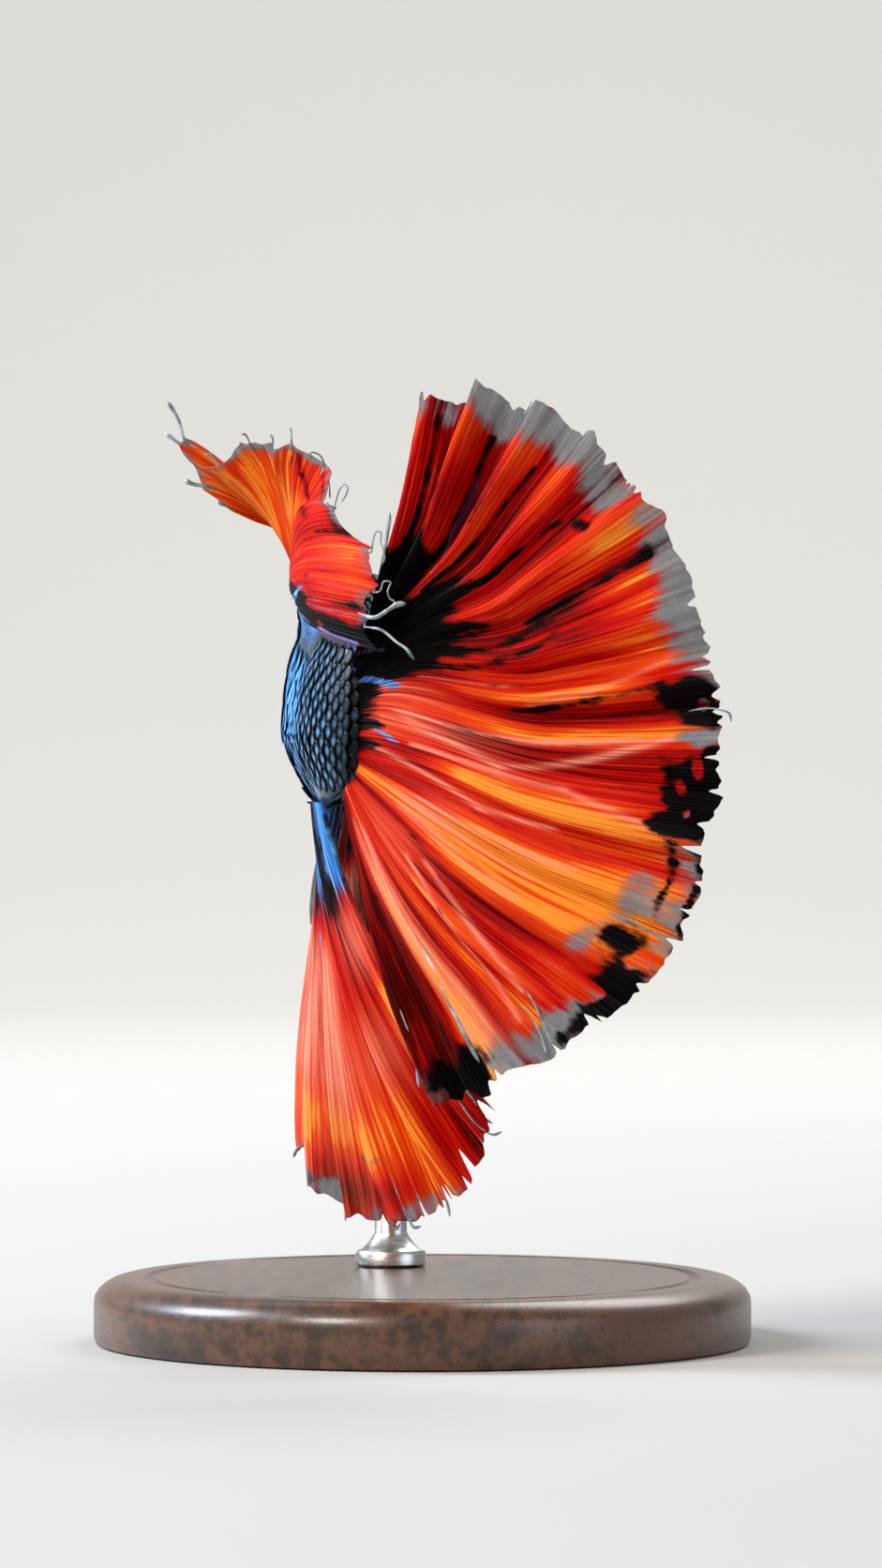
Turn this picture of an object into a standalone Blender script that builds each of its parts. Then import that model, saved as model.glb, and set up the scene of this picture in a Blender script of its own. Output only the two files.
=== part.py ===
"""Halfmoon betta fish, life size, in a turn with its fins spread, on a small display stand.

World frame: metres, +Z up, origin at the centre of the underside of the stand's base. +Y runs from the
tail towards the head, +X towards the fish's right side, on which both ends of the body bend.
"""

import math

import bmesh
import bpy
import numpy as np
from mathutils import Matrix

MM = 0.001

# Driving sizes, in millimetres and degrees. A place "along the body" is counted forward of the tail root.
STANDARD_LENGTH = 48.0  # snout to the root of the tail fin
TAIL_ROOT = (-4.4, -19.0, 37.6)  # middle of the tail fin's root, in the world
PITCH = 7.0  # the head is held this much higher than level
TAIL_SWING = 32.0  # the end of the tail stem turns this far to the right
TAIL_BEND = 6.5  # length of tail stem that takes up that turn
HEAD_SWING = 18.0  # the front half turns this far to the right
HEAD_BEND = (10.0, 25.0)  # the stretch of the body that takes up that turn
STEM_BULGE = 1.3  # how far the rounded end of the tail stem stands out
SHEATH_HEIGHT, SHEATH_LEAN = 1.1, 2.2  # the mound under the back fin stands up and leans to the left
GAP = 0.3  # clearance between pieces that meet
FIN_THICKNESS, PAIRED_FIN_THICKNESS = 0.56, 0.5
RING_SIDES = 24

# Where the body is parted.
HEAD_STARTS = 34.6
TAIL_ENDS = 16.4

EYE_RADIUS, EYE_FLAT = 1.65, 0.95  # as seen from the side, and from the middle of the eye outwards
EYE_AT, EYE_SIDE, EYE_HEIGHT = 42.5, 2.35, 1.5
EYE_CLEARANCE = 0.25
COVER_AT, COVER_SIZE = (37.9, -0.4), (2.6, 3.3)  # a gill cover's middle and half size, along the body and up
COVER_THICKNESS = 0.6
PECTORAL_AT, PELVIC_AT = 33.2, 34.0

BASE_LENGTH, BASE_WIDTH, BASE_THICKNESS, BASE_BEVEL = 54.0, 40.0, 4.0, 0.9
ROD_RADIUS, ROD_AT = 1.0, 29.6
PAD_RADIUS, COLLAR_RADIUS = 1.5, 2.2  # the rod's ends, under the belly and on the base

# Profiles along the body: (share of the standard length from the snout, millimetres).
BACK = [(0, 2.7), (0.03, 3.5), (0.09, 4.25), (0.18, 4.9), (0.3, 5.5), (0.45, 5.9), (0.62, 5.8), (0.8, 5.0),
        (0.92, 4.55), (1, 4.4)]
BELLY = [(0, 1.2), (0.03, -0.5), (0.09, -2.5), (0.18, -4.4), (0.3, -5.8), (0.45, -6.7), (0.62, -6.9),
         (0.8, -6.3), (0.92, -5.5), (1, -5.1)]
HALF_WIDTH = [(0, 0.9), (0.03, 1.8), (0.09, 2.75), (0.18, 3.5), (0.3, 3.75), (0.45, 3.55), (0.62, 3.0),
              (0.8, 2.2), (0.92, 1.4), (1, 0.8)]

COLOURS = {
    "skin": ((0.03, 0.07, 0.13), 0.35, 0.4),
    "eye": ((0.01, 0.01, 0.012), 0.08, 0.0),
    "fin": ((0.72, 0.05, 0.015), 0.45, 0.0),
    "pale_fin": ((0.30, 0.12, 0.09), 0.45, 0.0),
    "base": ((0.06, 0.045, 0.035), 0.35, 0.0),
    "rod": ((0.62, 0.6, 0.56), 0.25, 1.0),
}


def smooth(x, knots):
    """A smooth curve through (position, value) knots; value may be a number or a tuple."""
    at = np.array([k[0] for k in knots], float)
    value = np.array([k[1] for k in knots], float)
    if value.ndim == 1:
        value = value[:, None]
    slope = np.gradient(value, at, axis=0)
    x = np.clip(np.atleast_1d(np.asarray(x, float)), at[0], at[-1])
    i = np.clip(np.searchsorted(at, x, side="right") - 1, 0, len(at) - 2)
    step = (at[i + 1] - at[i])[:, None]
    s = (x - at[i])[:, None] / step
    result = (
        (1 + 2 * s) * (1 - s) ** 2 * value[i]
        + s * (1 - s) ** 2 * step * slope[i]
        + s * s * (3 - 2 * s) * value[i + 1]
        - s * s * (1 - s) * step * slope[i + 1]
    )
    return result[:, 0] if result.shape[1] == 1 else result


def ease(x, low, high):
    """0 below low, 1 above high, and smooth in between."""
    s = np.clip((np.asarray(x, float) - low) / (high - low), 0, 1)
    return s * s * (3 - 2 * s)


def unit(v):
    return v / np.linalg.norm(v, axis=-1, keepdims=True)


# ---------------------------------------------------------------- the body's line


SPINE_STEP = 0.1
SPINE_D = np.arange(-4.0, STANDARD_LENGTH + 3.0, SPINE_STEP)


def turn(d):
    """How far the body's line heads to the left of straight ahead, at d along the body."""
    tail = math.radians(TAIL_SWING) * np.clip(1 - np.maximum(d, 0) / TAIL_BEND, 0, 1) ** 1.2
    return tail - math.radians(HEAD_SWING) * ease(d, *HEAD_BEND)


def spine_table():
    heading = turn(SPINE_D)
    pitch = math.radians(PITCH)
    step = np.stack(
        [-np.sin(heading) * math.cos(pitch), np.cos(heading) * math.cos(pitch),
         np.full_like(heading, math.sin(pitch))], axis=1) * SPINE_STEP
    line = np.cumsum(step, axis=0)
    start = np.array([np.interp(0.0, SPINE_D, line[:, k]) for k in range(3)])
    return line - start + np.array(TAIL_ROOT)


SPINE = spine_table()


def spine(d):
    """Points on the body's line, and the directions right, forward and up there."""
    d = np.atleast_1d(np.asarray(d, float))
    point = np.stack([np.interp(d, SPINE_D, SPINE[:, k]) for k in range(3)], axis=1)
    heading, pitch = turn(d), math.radians(PITCH)
    right = np.stack([np.cos(heading), np.sin(heading), np.zeros_like(d)], axis=1)
    ahead = np.stack(
        [-np.sin(heading) * math.cos(pitch), np.cos(heading) * math.cos(pitch),
         np.full_like(d, math.sin(pitch))], axis=1)
    return point, right, ahead, np.cross(right, ahead)


def place(d, side, height, forward=0.0):
    """The world point beside the body's line at d: side to the right, height up, forward ahead."""
    point, right, ahead, up = spine(d)
    side, height, forward = (np.asarray(v, float).reshape(-1, 1) for v in (side, height, forward))
    return point + right * side + up * height + ahead * forward


def sheath(d):
    """The fleshy mound that the back fin grows from, 1 along the fin's root and 0 away from it."""
    return ease(d, 8.0, 11.0) * (1 - ease(d, 17.5, 21.5))


def section(d, angle, shrink=0.0):
    """Side and height of the body's surface at d, angle round from the back (0) past the right side."""
    share = 1 - d / STANDARD_LENGTH
    top, low, wide = smooth(share, BACK), smooth(share, BELLY), smooth(share, HALF_WIDTH)
    top, low, wide = top - shrink, low + shrink, np.maximum(wide - shrink, 0.15)
    middle = low + 0.37 * (top - low)
    sine, cosine = np.sin(angle), np.cos(angle)
    over, under = 1.1 + 0.4 * ease(share, 0.5, 0.8), 0.82 + 0.25 * ease(share, 0.6, 1.0)
    fullness = np.where(cosine > 0, over, under)
    side = wide * np.sign(sine) * np.abs(sine) ** fullness
    height = middle + np.where(cosine > 0, top - middle, middle - low) * cosine
    crest = sheath(d) * np.exp(-((np.minimum(angle, 2 * math.pi - angle) / 0.45) ** 2))
    return side - SHEATH_LEAN * crest, height + SHEATH_HEIGHT * crest


def stem_end(d, angle):
    """How far back the rounded end of the tail stem stands out at this angle."""
    return STEM_BULGE * np.sin(angle) ** 2 * (1 - ease(d, 0.0, 6.0))


def body_rings(distances, shrink=0.0, rounded=False):
    angles = np.arange(RING_SIDES) * 2 * math.pi / RING_SIDES
    rings = []
    for d in distances:
        side, height = section(np.full(RING_SIDES, d), angles, shrink)
        back = stem_end(np.full(RING_SIDES, d), angles) if rounded else np.zeros(RING_SIDES)
        rings.append(place(d - back, side, height))
    return np.array(rings)


# ---------------------------------------------------------------- meshes


def material(name):
    found = bpy.data.materials.get(name)
    if found:
        return found
    colour, roughness, metallic = COLOURS[name]
    made = bpy.data.materials.new(name)
    made.use_nodes = True
    shader = made.node_tree.nodes["Principled BSDF"]
    shader.inputs["Base Color"].default_value = (*colour, 1)
    shader.inputs["Roughness"].default_value = roughness
    shader.inputs["Metallic"].default_value = metallic
    made.diffuse_color = (*colour, 1)
    return made


def add_object(name, points_mm, faces, finish, hidden=False):
    mesh = bpy.data.meshes.new(name)
    mesh.from_pydata([tuple(p) for p in np.asarray(points_mm, float) * MM], [], faces)
    tidy = bmesh.new()
    tidy.from_mesh(mesh)
    bmesh.ops.recalc_face_normals(tidy, faces=tidy.faces)
    tidy.to_mesh(mesh)
    tidy.free()
    mesh.shade_smooth()
    mesh.set_sharp_from_angle(angle=math.radians(50))
    made = bpy.data.objects.new(name, mesh)
    bpy.context.scene.collection.objects.link(made)
    if finish:
        mesh.materials.append(material(finish))
    if hidden:
        made.hide_render = True
        made.display_type = "WIRE"
    return made


def tube_faces(rings, sides):
    """Quads round a stack of rings, closed at both ends by strips from the right side to the left."""
    faces = []
    for r in range(rings - 1):
        for k in range(sides):
            n = (k + 1) % sides
            faces.append((r * sides + k, r * sides + n, (r + 1) * sides + n, (r + 1) * sides + k))
    for first in (0, (rings - 1) * sides):
        for k in range(sides // 2):
            strip = [k, k + 1, sides - k - 1, (sides - k) % sides]
            faces.append(tuple(first + v for v in dict.fromkeys(strip)))
    return faces


def body_piece(name, distances, shrink=0.0, rounded=False, finish="skin", hidden=False):
    rings = body_rings(distances, shrink, rounded)
    return add_object(name, rings.reshape(-1, 3), tube_faces(len(rings), RING_SIDES), finish, hidden)


def cut(target, cutter, operation="DIFFERENCE"):
    change = target.modifiers.new(operation.title() + cutter.name, "BOOLEAN")
    change.operation = operation
    change.solver = "EXACT"
    change.object = cutter


# ---------------------------------------------------------------- fins


def fin_sheet(root, root_way, tip, folds, share_of_width, rows, edge, elbow_at=0.45):
    """Middle surface of a fin as a grid of points, one column for each share across it.

    root, root_way and tip are functions of the share: where a ray starts, the way it sets off, and where
    it ends. folds gives the height of the pleats, and edge how much of its length a ray reaches. A ray
    keeps its first way for about elbow_at of its length.
    """
    start, way, end = root(share_of_width), unit(root_way(share_of_width)), tip(share_of_width)
    reach = np.linalg.norm(end - start, axis=1, keepdims=True)
    elbow = start + way * reach * elbow_at
    v = (np.linspace(0, 1, rows)[None, :, None]) * edge(share_of_width)[:, None, None]
    grid = (1 - v) ** 2 * start[:, None] + 2 * v * (1 - v) * elbow[:, None] + v * v * end[:, None]
    lift = folds(share_of_width[:, None], v[:, :, 0])
    return grid + normals(grid) * lift[:, :, None]


def normals(grid):
    across, along = np.gradient(grid, axis=0), np.gradient(grid, axis=1)
    return unit(np.cross(across, along))


def fin_piece(name, grid, finish="fin", thickness=FIN_THICKNESS):
    """A closed sheet of even thickness about a grid of points."""
    columns, rows = grid.shape[:2]
    lift = normals(grid) * thickness / 2
    points = np.concatenate([(grid + lift).reshape(-1, 3), (grid - lift).reshape(-1, 3)])
    far = columns * rows
    faces = []
    for c in range(columns - 1):
        for r in range(rows - 1):
            a = c * rows + r
            quad = (a, a + 1, a + rows + 1, a + rows)
            faces.append(quad)
            faces.append(tuple(far + v for v in reversed(quad)))
    rim = [c * rows for c in range(columns)]
    rim += [(columns - 1) * rows + r for r in range(1, rows)]
    rim += [c * rows + rows - 1 for c in range(columns - 2, -1, -1)]
    rim += [r for r in range(rows - 2, 0, -1)]
    for here, after in zip(rim, rim[1:] + rim[:1]):
        faces.append((here, after, far + after, far + here))
    return add_object(name, points, faces, finish)


def pointed(share, rays, depth):
    """How far the rim falls back between ray tips, as a share of the ray: 0 at each of the rays."""
    between = np.abs(np.sin(math.pi * rays * share))
    return depth * between ** 0.6


# Key rays of each fin: share across the fin, place along the body or down the root, the way the ray sets
# off, and its tip, in millimetres from the middle of the tail root (right, ahead, up).
TAIL_KEYS = [
    (0.00, 0.92, (0.36, -0.36, 0.84), (4.0, 1.5, 19.2)),
    (0.14, 0.72, (0.52, -0.55, 0.62), (9.6, -1.5, 19.4)),
    (0.30, 0.45, (0.60, -0.68, 0.36), (16.6, -6.0, 14.6)),
    (0.48, 0.12, (0.66, -0.74, 0.08), (22.0, -10.5, 3.2)),
    (0.64, -0.22, (0.64, -0.72, -0.20), (21.8, -12.0, -6.0)),
    (0.80, -0.52, (0.52, -0.62, -0.52), (18.6, -11.5, -14.8)),
    (0.92, -0.76, (0.32, -0.48, -0.80), (11.2, -9.0, -20.2)),
    (1.00, -0.92, (0.14, -0.36, -0.92), (5.6, -7.0, -22.8)),
]
BACK_KEYS = [
    (0.00, 18.6, (-0.30, 0.10, 0.90), (-8.5, 17.0, 13.0)),
    (0.07, 18.0, (-0.40, 0.05, 0.87), (-10.1, 16.2, 14.4)),
    (0.14, 17.5, (-0.46, 0.02, 0.87), (-11.0, 15.2, 16.8)),
    (0.21, 16.9, (-0.44, 0.00, 0.90), (-10.6, 14.4, 19.3)),
    (0.29, 15.9, (-0.34, -0.10, 0.92), (-8.2, 12.6, 15.8)),
    (0.50, 14.2, (-0.05, -0.35, 0.93), (-2.9, 7.4, 16.9)),
    (0.64, 13.0, (-0.06, -0.66, 0.72), (-1.0, 2.2, 12.9)),
    (0.79, 11.7, (-0.10, -0.92, 0.42), (1.3, -4.2, 10.3)),
    (0.87, 11.0, (-0.12, -0.95, 0.28), (3.1, -6.6, 7.1)),
    (1.00, 9.8, (-0.14, -1.00, 0.02), (4.6, -8.8, 3.4)),
]
VENT_KEYS = [
    (0.00, 1.4, (0.02, -0.30, -0.95), (9.5, -1.6, -23.6)),
    (0.10, 3.6, (0.04, -0.32, -0.93), (8.2, -0.8, -27.0)),
    (0.24, 6.6, (0.06, -0.35, -0.90), (5.4, 0.6, -29.4)),
    (0.44, 11.0, (0.08, -0.40, -0.90), (1.8, 4.2, -30.6)),
    (0.64, 16.0, (-0.06, -0.42, -0.90), (-1.9, 8.0, -28.0)),
    (0.82, 21.0, (-0.20, -0.40, -0.90), (-1.3, 13.0, -23.0)),
    (1.00, 25.6, (-0.12, -0.30, -0.95), (2.2, 19.6, -15.4)),
]


def key(keys, column):
    """One column of a fin's table of key rays, as a smooth function of the share across the fin."""
    knots = [(row[0], row[column]) for row in keys]
    return lambda share: smooth(share, knots)


def key_tips(keys):
    return lambda share: key(keys, 3)(share) + np.array(TAIL_ROOT)


def tail_fin():
    """The half-disc behind the tail stem, strongly pleated."""
    low, high = smooth(1.0, BELLY)[0], smooth(1.0, BACK)[0]
    middle, half = (low + high) / 2, (high - low) / 2

    def root(share):
        rise = key(TAIL_KEYS, 1)(share)
        # The stem's end follows the same arc: its height is the cosine of the angle round it.
        back = STEM_BULGE * (1 - rise**2) + GAP
        return place(-back, np.zeros_like(rise), middle + half * rise)

    def folds(share, v):
        wave = np.sin(2 * math.pi * (12.5 * share + 0.22 * np.sin(2 * math.pi * 2.3 * share)))
        return 1.15 * wave * ease(v, 0.15, 0.75)

    grid = fin_sheet(root, key(TAIL_KEYS, 2), key_tips(TAIL_KEYS), folds, np.linspace(0, 1, 66), 7,
                     lambda share: 1 - pointed(share, 16.5, 0.035))
    return fin_piece("tail_fin", grid)


def back_fin():
    """The fin on the back, which leans over to the left and wraps round behind the tail stem."""
    def root(share):
        d = key(BACK_KEYS, 1)(share)
        side, top = section(d, np.zeros_like(d))
        return place(d, side, top + GAP)

    def folds(share, v):
        wave = np.sin(2 * math.pi * (4.6 * share + 0.1))
        return 0.9 * wave * ease(v, 0.2, 0.9) * (1 - 0.8 * ease(share, 0.8, 1.0))

    grid = fin_sheet(root, key(BACK_KEYS, 2), key_tips(BACK_KEYS), folds, np.linspace(0, 1, 57), 8,
                     lambda share: 1.06 - pointed(share, 14, 0.17), elbow_at=0.62)
    return fin_piece("back_fin", grid)


def vent_fin():
    """The long fin under the tail stem and trunk, gathered so that it hangs in deep folds."""
    def root(share):
        d = key(VENT_KEYS, 1)(share)
        low = smooth(1 - d / STANDARD_LENGTH, BELLY)
        return place(d, np.zeros_like(d), low - GAP)

    def folds(share, v):
        wave = np.sin(2 * math.pi * (7.0 * share + 0.18 * np.sin(2 * math.pi * 1.7 * share)))
        return 1.1 * wave * ease(v, 0.2, 0.9)

    grid = fin_sheet(root, key(VENT_KEYS, 2), key_tips(VENT_KEYS), folds, np.linspace(0, 1, 46), 8,
                     lambda share: 1 - pointed(share, 11.25, 0.05))
    return fin_piece("vent_fin", grid)


def paired_fin(name, hand, at, root, way, tip, folds, edge, columns, rows):
    """A fin of the right side, or with hand -1 of the left; root, way and tip give (side, along, up)."""
    def starts(share):
        side, along, height = root(share).T
        return place(along, hand * side, height)

    def ways(share):
        _, right, ahead, up = spine(np.full(len(share), at))
        side, along, height = np.split(way(share), 3, axis=1)
        return right * hand * side + ahead * along + up * height

    def tips(share):
        side, along, height = tip(share).T
        return place(along, hand * side, height)

    share = np.linspace(0, 1, columns)
    grid = fin_sheet(starts, ways, tips, folds, share, rows, edge)
    return fin_piece(name, grid, "pale_fin", PAIRED_FIN_THICKNESS)


def pectoral_fin(name, hand, spread):
    """The fan behind the gill cover. spread is 0 folded back along the flank, 1 held well out."""
    def root(share):
        along = np.full(len(share), PECTORAL_AT)
        side, height = section(along, np.radians(82 + 26 * share))
        return np.stack([side + 2 * GAP, along, height], axis=1)

    out = 0.5 + 0.4 * spread
    way = [(0, (out, -0.8, 0.35)), (1, (out, -0.7, -0.45))]
    tip = [
        (0, (4.3 + 2.2 * spread, PECTORAL_AT - 6.6 + 1.4 * spread, 3.0)),
        (0.35, (4.4 + 4.2 * spread, PECTORAL_AT - 8.6 + 2.0 * spread, 0.4)),
        (0.7, (4.4 + 4.4 * spread, PECTORAL_AT - 8.2 + 2.6 * spread, -2.2)),
        (1, (4.4 + 2.8 * spread, PECTORAL_AT - 5.6 + 2.6 * spread, -3.6)),
    ]
    return paired_fin(
        name, hand, PECTORAL_AT, root, lambda s: smooth(s, way), lambda s: smooth(s, tip),
        lambda s, v: 0.12 * np.sin(8 * math.pi * s) * v, lambda s: 1 - pointed(s, 6, 0.05), 13, 5)


def pelvic_fin(name, hand, flare):
    """The long narrow blade that hangs under the breast. flare is 0 hanging, 1 bowed well out to the side."""
    low = smooth(1 - PELVIC_AT / STANDARD_LENGTH, BELLY)[0] - GAP

    def root(share):
        return np.stack([0.75 + 0.6 * share, PELVIC_AT - 0.9 * share, low + 0.1 * share], axis=1)

    out, down = 0.45 + 0.4 * flare, -0.9 + 0.3 * flare
    way = [(0, (out, -0.05, down)), (0.5, (out, -0.25, down)), (1, (out + 0.1, -0.6, down + 0.1))]
    tip = [(0, (3.0 + 2.6 * flare, PELVIC_AT - 4.6, -18.6)), (1, (3.2 + 2.6 * flare, PELVIC_AT - 5.2, -17.6))]
    return paired_fin(
        name, hand, PELVIC_AT, root, lambda s: smooth(s, way), lambda s: smooth(s, tip),
        lambda s, v: np.zeros_like(s * v), lambda s: 1 - 0.12 * s, 4, 11)


# ---------------------------------------------------------------- head


def in_head(local):
    """World millimetres of (side, along, up) points, on the straight line that the head keeps."""
    point, right, ahead, up = (v[0] for v in spine(HEAD_STARTS))
    side, along, height = np.asarray(local, float).T[:, :, None]
    return point + right * side + ahead * (along - HEAD_STARTS) + up * height


def prism(name, outline, low_side, high_side):
    """A hidden cutter: an outline of (along, up) points run through the head from one side to the other."""
    corners = [(side, along, height) for side in (low_side, high_side) for along, height in outline]
    n = len(outline)
    faces = [tuple(range(n)), tuple(range(2 * n - 1, n - 1, -1))]
    faces += [(k, (k + 1) % n, n + (k + 1) % n, n + k) for k in range(n)]
    return add_object(name, in_head(corners), faces, None, hidden=True)


def ball(name, hand, grow, finish, hidden=False):
    """An eye, or with grow the socket that holds it: a ball flattened from side to side."""
    shape = bmesh.new()
    bmesh.ops.create_uvsphere(shape, u_segments=16, v_segments=8, radius=1.0)
    upright = Matrix.Rotation(math.pi / 2, 4, "Y")
    size = Matrix.Diagonal((EYE_FLAT + grow, EYE_RADIUS + grow, EYE_RADIUS + grow, 1))
    ahead = Matrix.Rotation(math.radians(16 * hand), 4, "Z")
    down = Matrix.Rotation(math.radians(-9 * hand), 4, "Y")
    centre = Matrix.Translation((hand * EYE_SIDE, EYE_AT, EYE_HEIGHT))
    bmesh.ops.transform(shape, matrix=centre @ down @ ahead @ size @ upright, verts=shape.verts)
    points = in_head([tuple(v.co) for v in shape.verts])
    faces = [tuple(v.index for v in f.verts) for f in shape.faces]
    shape.free()
    return add_object(name, points, faces, finish, hidden)


def cover_outline(grow):
    """A gill cover's outline, an ellipse."""
    angles = np.arange(18) * 2 * math.pi / 18
    along = COVER_AT[0] + (COVER_SIZE[0] + grow) * np.cos(angles)
    return list(zip(along, COVER_AT[1] + (COVER_SIZE[1] + grow) * np.sin(angles)))


def jaw_outline(grow):
    """The wedge below the mouth: the gape runs steeply up to the snout, as this fish feeds at the surface."""
    gape = [(50.0, 2.15 + grow), (47.2, 1.15 + grow), (44.6 - grow, -0.5 + grow)]
    return gape + [(43.4 - grow, -5.0), (50.0, -5.0)]


def head_shell(name):
    """The head's whole outer form, from the trunk to the snout."""
    steps = np.linspace(0, 1, 12) ** 1.3
    return body_piece(name, STANDARD_LENGTH - (STANDARD_LENGTH - HEAD_STARTS - GAP / 2) * steps)


def head_core(name, depth):
    """A hidden cutter that lies this deep under the cheeks."""
    inside = np.linspace(HEAD_STARTS - 1.5, COVER_AT[0] + 5.0, 9)
    return body_piece(name, inside, shrink=depth, finish=None, hidden=True)


def head_pieces():
    """The head with its sockets, and the jaw, gill covers and eyes that are set in it."""
    head, jaw = head_shell("head"), head_shell("lower_jaw")
    cut(jaw, prism("jaw_wedge", jaw_outline(0.0), -5, 5), "INTERSECT")
    cut(head, prism("jaw_room", jaw_outline(GAP), -5, 5))
    for side, hand in (("left", -1), ("right", 1)):
        cheek = sorted((hand * 0.6, hand * 6.0))
        cover = head_shell("gill_cover_" + side)
        cut(cover, prism("cover_edge_" + side, cover_outline(0.0), *cheek), "INTERSECT")
        cut(cover, head_core("under_cover_" + side, COVER_THICKNESS))
        room = prism("cover_room_" + side, cover_outline(GAP), *cheek)
        cut(room, head_core("cheek_" + side, COVER_THICKNESS + GAP))
        cut(head, room)
        cut(head, ball("socket_" + side, hand, EYE_CLEARANCE, None, hidden=True))
        ball("eye_" + side, hand, 0.0, "eye")


# ---------------------------------------------------------------- stand


def stand_base():
    """The flat oval base, centred on the origin."""
    shape = bmesh.new()
    bmesh.ops.create_cone(shape, cap_ends=True, segments=40, radius1=1, radius2=1, depth=1)
    size = Matrix.Diagonal((BASE_WIDTH / 2, BASE_LENGTH / 2, BASE_THICKNESS, 1))
    lift = Matrix.Translation((0, 0, BASE_THICKNESS / 2))
    bmesh.ops.transform(shape, matrix=lift @ size, verts=shape.verts)
    rim = [e for e in shape.edges if all(v.co.z > BASE_THICKNESS - 0.01 for v in e.verts)]
    bmesh.ops.bevel(shape, geom=rim, offset=BASE_BEVEL, segments=2, profile=0.5, affect="EDGES")
    points = [v.co.copy() for v in shape.verts]
    faces = [tuple(v.index for v in f.verts) for f in shape.faces]
    shape.free()
    return add_object("stand_base", points, faces, "base")


def stand_rod():
    """The rod from the base to just under the belly, with a collar below and a pad above."""
    under = ROD_AT + np.array([-1, 0, 1]) * PAD_RADIUS
    belly = place(under, np.zeros(3), smooth(1 - under / STANDARD_LENGTH, BELLY))
    low, high = BASE_THICKNESS + 0.05, belly[:, 2].min() - GAP
    profile = [(COLLAR_RADIUS, low), (COLLAR_RADIUS, low + 1.0), (ROD_RADIUS, low + 2.0),
               (ROD_RADIUS, high - 1.6), (PAD_RADIUS, high - 0.7), (PAD_RADIUS, high)]
    around = 20
    angles = np.arange(around) * 2 * math.pi / around
    x, y = belly[1, 0], belly[1, 1]
    rings = [np.stack([x + r * np.cos(angles), y + r * np.sin(angles), np.full(around, z)], axis=1)
             for r, z in profile]
    return add_object("stand_rod", np.concatenate(rings), tube_faces(len(profile), around), "rod")


def clear_scene():
    for thing in list(bpy.data.objects):
        bpy.data.objects.remove(thing)


def main():
    clear_scene()
    head_pieces()
    body_piece("trunk", np.linspace(TAIL_ENDS + GAP / 2, HEAD_STARTS - GAP / 2, 9))
    body_piece("tail_stem", np.linspace(0, TAIL_ENDS - GAP / 2, 10), rounded=True)
    tail_fin()
    back_fin()
    vent_fin()
    pectoral_fin("pectoral_fin_left", -1, 0.0)
    pectoral_fin("pectoral_fin_right", 1, 0.8)
    pelvic_fin("pelvic_fin_left", -1, 0.9)
    pelvic_fin("pelvic_fin_right", 1, 0.3)
    stand_base()
    stand_rod()


main()
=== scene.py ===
import math

import bpy
import numpy as np
from mathutils import Euler, Matrix, Vector


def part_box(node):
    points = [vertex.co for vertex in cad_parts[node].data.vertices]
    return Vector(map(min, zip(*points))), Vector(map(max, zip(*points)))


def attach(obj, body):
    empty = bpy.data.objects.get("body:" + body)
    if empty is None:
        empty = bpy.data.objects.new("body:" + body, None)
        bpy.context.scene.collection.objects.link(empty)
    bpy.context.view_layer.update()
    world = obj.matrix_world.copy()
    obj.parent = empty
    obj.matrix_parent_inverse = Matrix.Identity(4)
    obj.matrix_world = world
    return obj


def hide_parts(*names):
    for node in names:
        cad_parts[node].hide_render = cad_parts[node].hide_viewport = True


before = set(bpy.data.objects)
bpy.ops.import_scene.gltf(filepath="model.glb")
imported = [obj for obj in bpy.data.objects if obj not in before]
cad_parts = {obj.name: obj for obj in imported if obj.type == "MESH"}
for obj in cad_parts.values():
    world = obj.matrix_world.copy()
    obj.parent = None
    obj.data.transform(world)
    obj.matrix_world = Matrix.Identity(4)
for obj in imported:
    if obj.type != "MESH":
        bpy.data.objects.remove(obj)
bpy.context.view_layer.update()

# A long-finned betta, life size, on a small display stand. Lengths are in millimetres until a mesh is made.
# +Y runs from the tail to the head, +X to the fish's right side. "Along" is counted forward of the tail root.
mm = 0.001


def say(stage):
    print("betta model:", stage, flush=True)


# ---- colours and nodes

def linear(hexColour):
    values = [int(hexColour[i:i + 2], 16) / 255 for i in (1, 3, 5)]
    return (*[v / 12.92 if v < 0.04045 else ((v + 0.055) / 1.055) ** 2.4 for v in values], 1)


def addNode(tree, kind, settings=None, inputs=None):
    node = tree.nodes.new(kind)
    for name, value in (settings or {}).items():
        setattr(node, name, value)
    for socket, value in (inputs or {}).items():
        if isinstance(value, bpy.types.NodeSocket):
            tree.links.new(value, node.inputs[socket])
        else:
            node.inputs[socket].default_value = value
    return node


def newMaterial(name):
    made = bpy.data.materials.new(name)
    made.use_nodes = True
    made.node_tree.nodes.clear()
    return made, made.node_tree


def setRamp(node, stops):
    ramp = node.color_ramp
    while len(ramp.elements) < len(stops):
        ramp.elements.new(0.5)
    for element, (place, colour) in zip(ramp.elements, stops):
        element.position = place
        element.color = linear(colour) if isinstance(colour, str) else (colour, colour, colour, 1)
    return node


# ---- curves, noise and meshes

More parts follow.
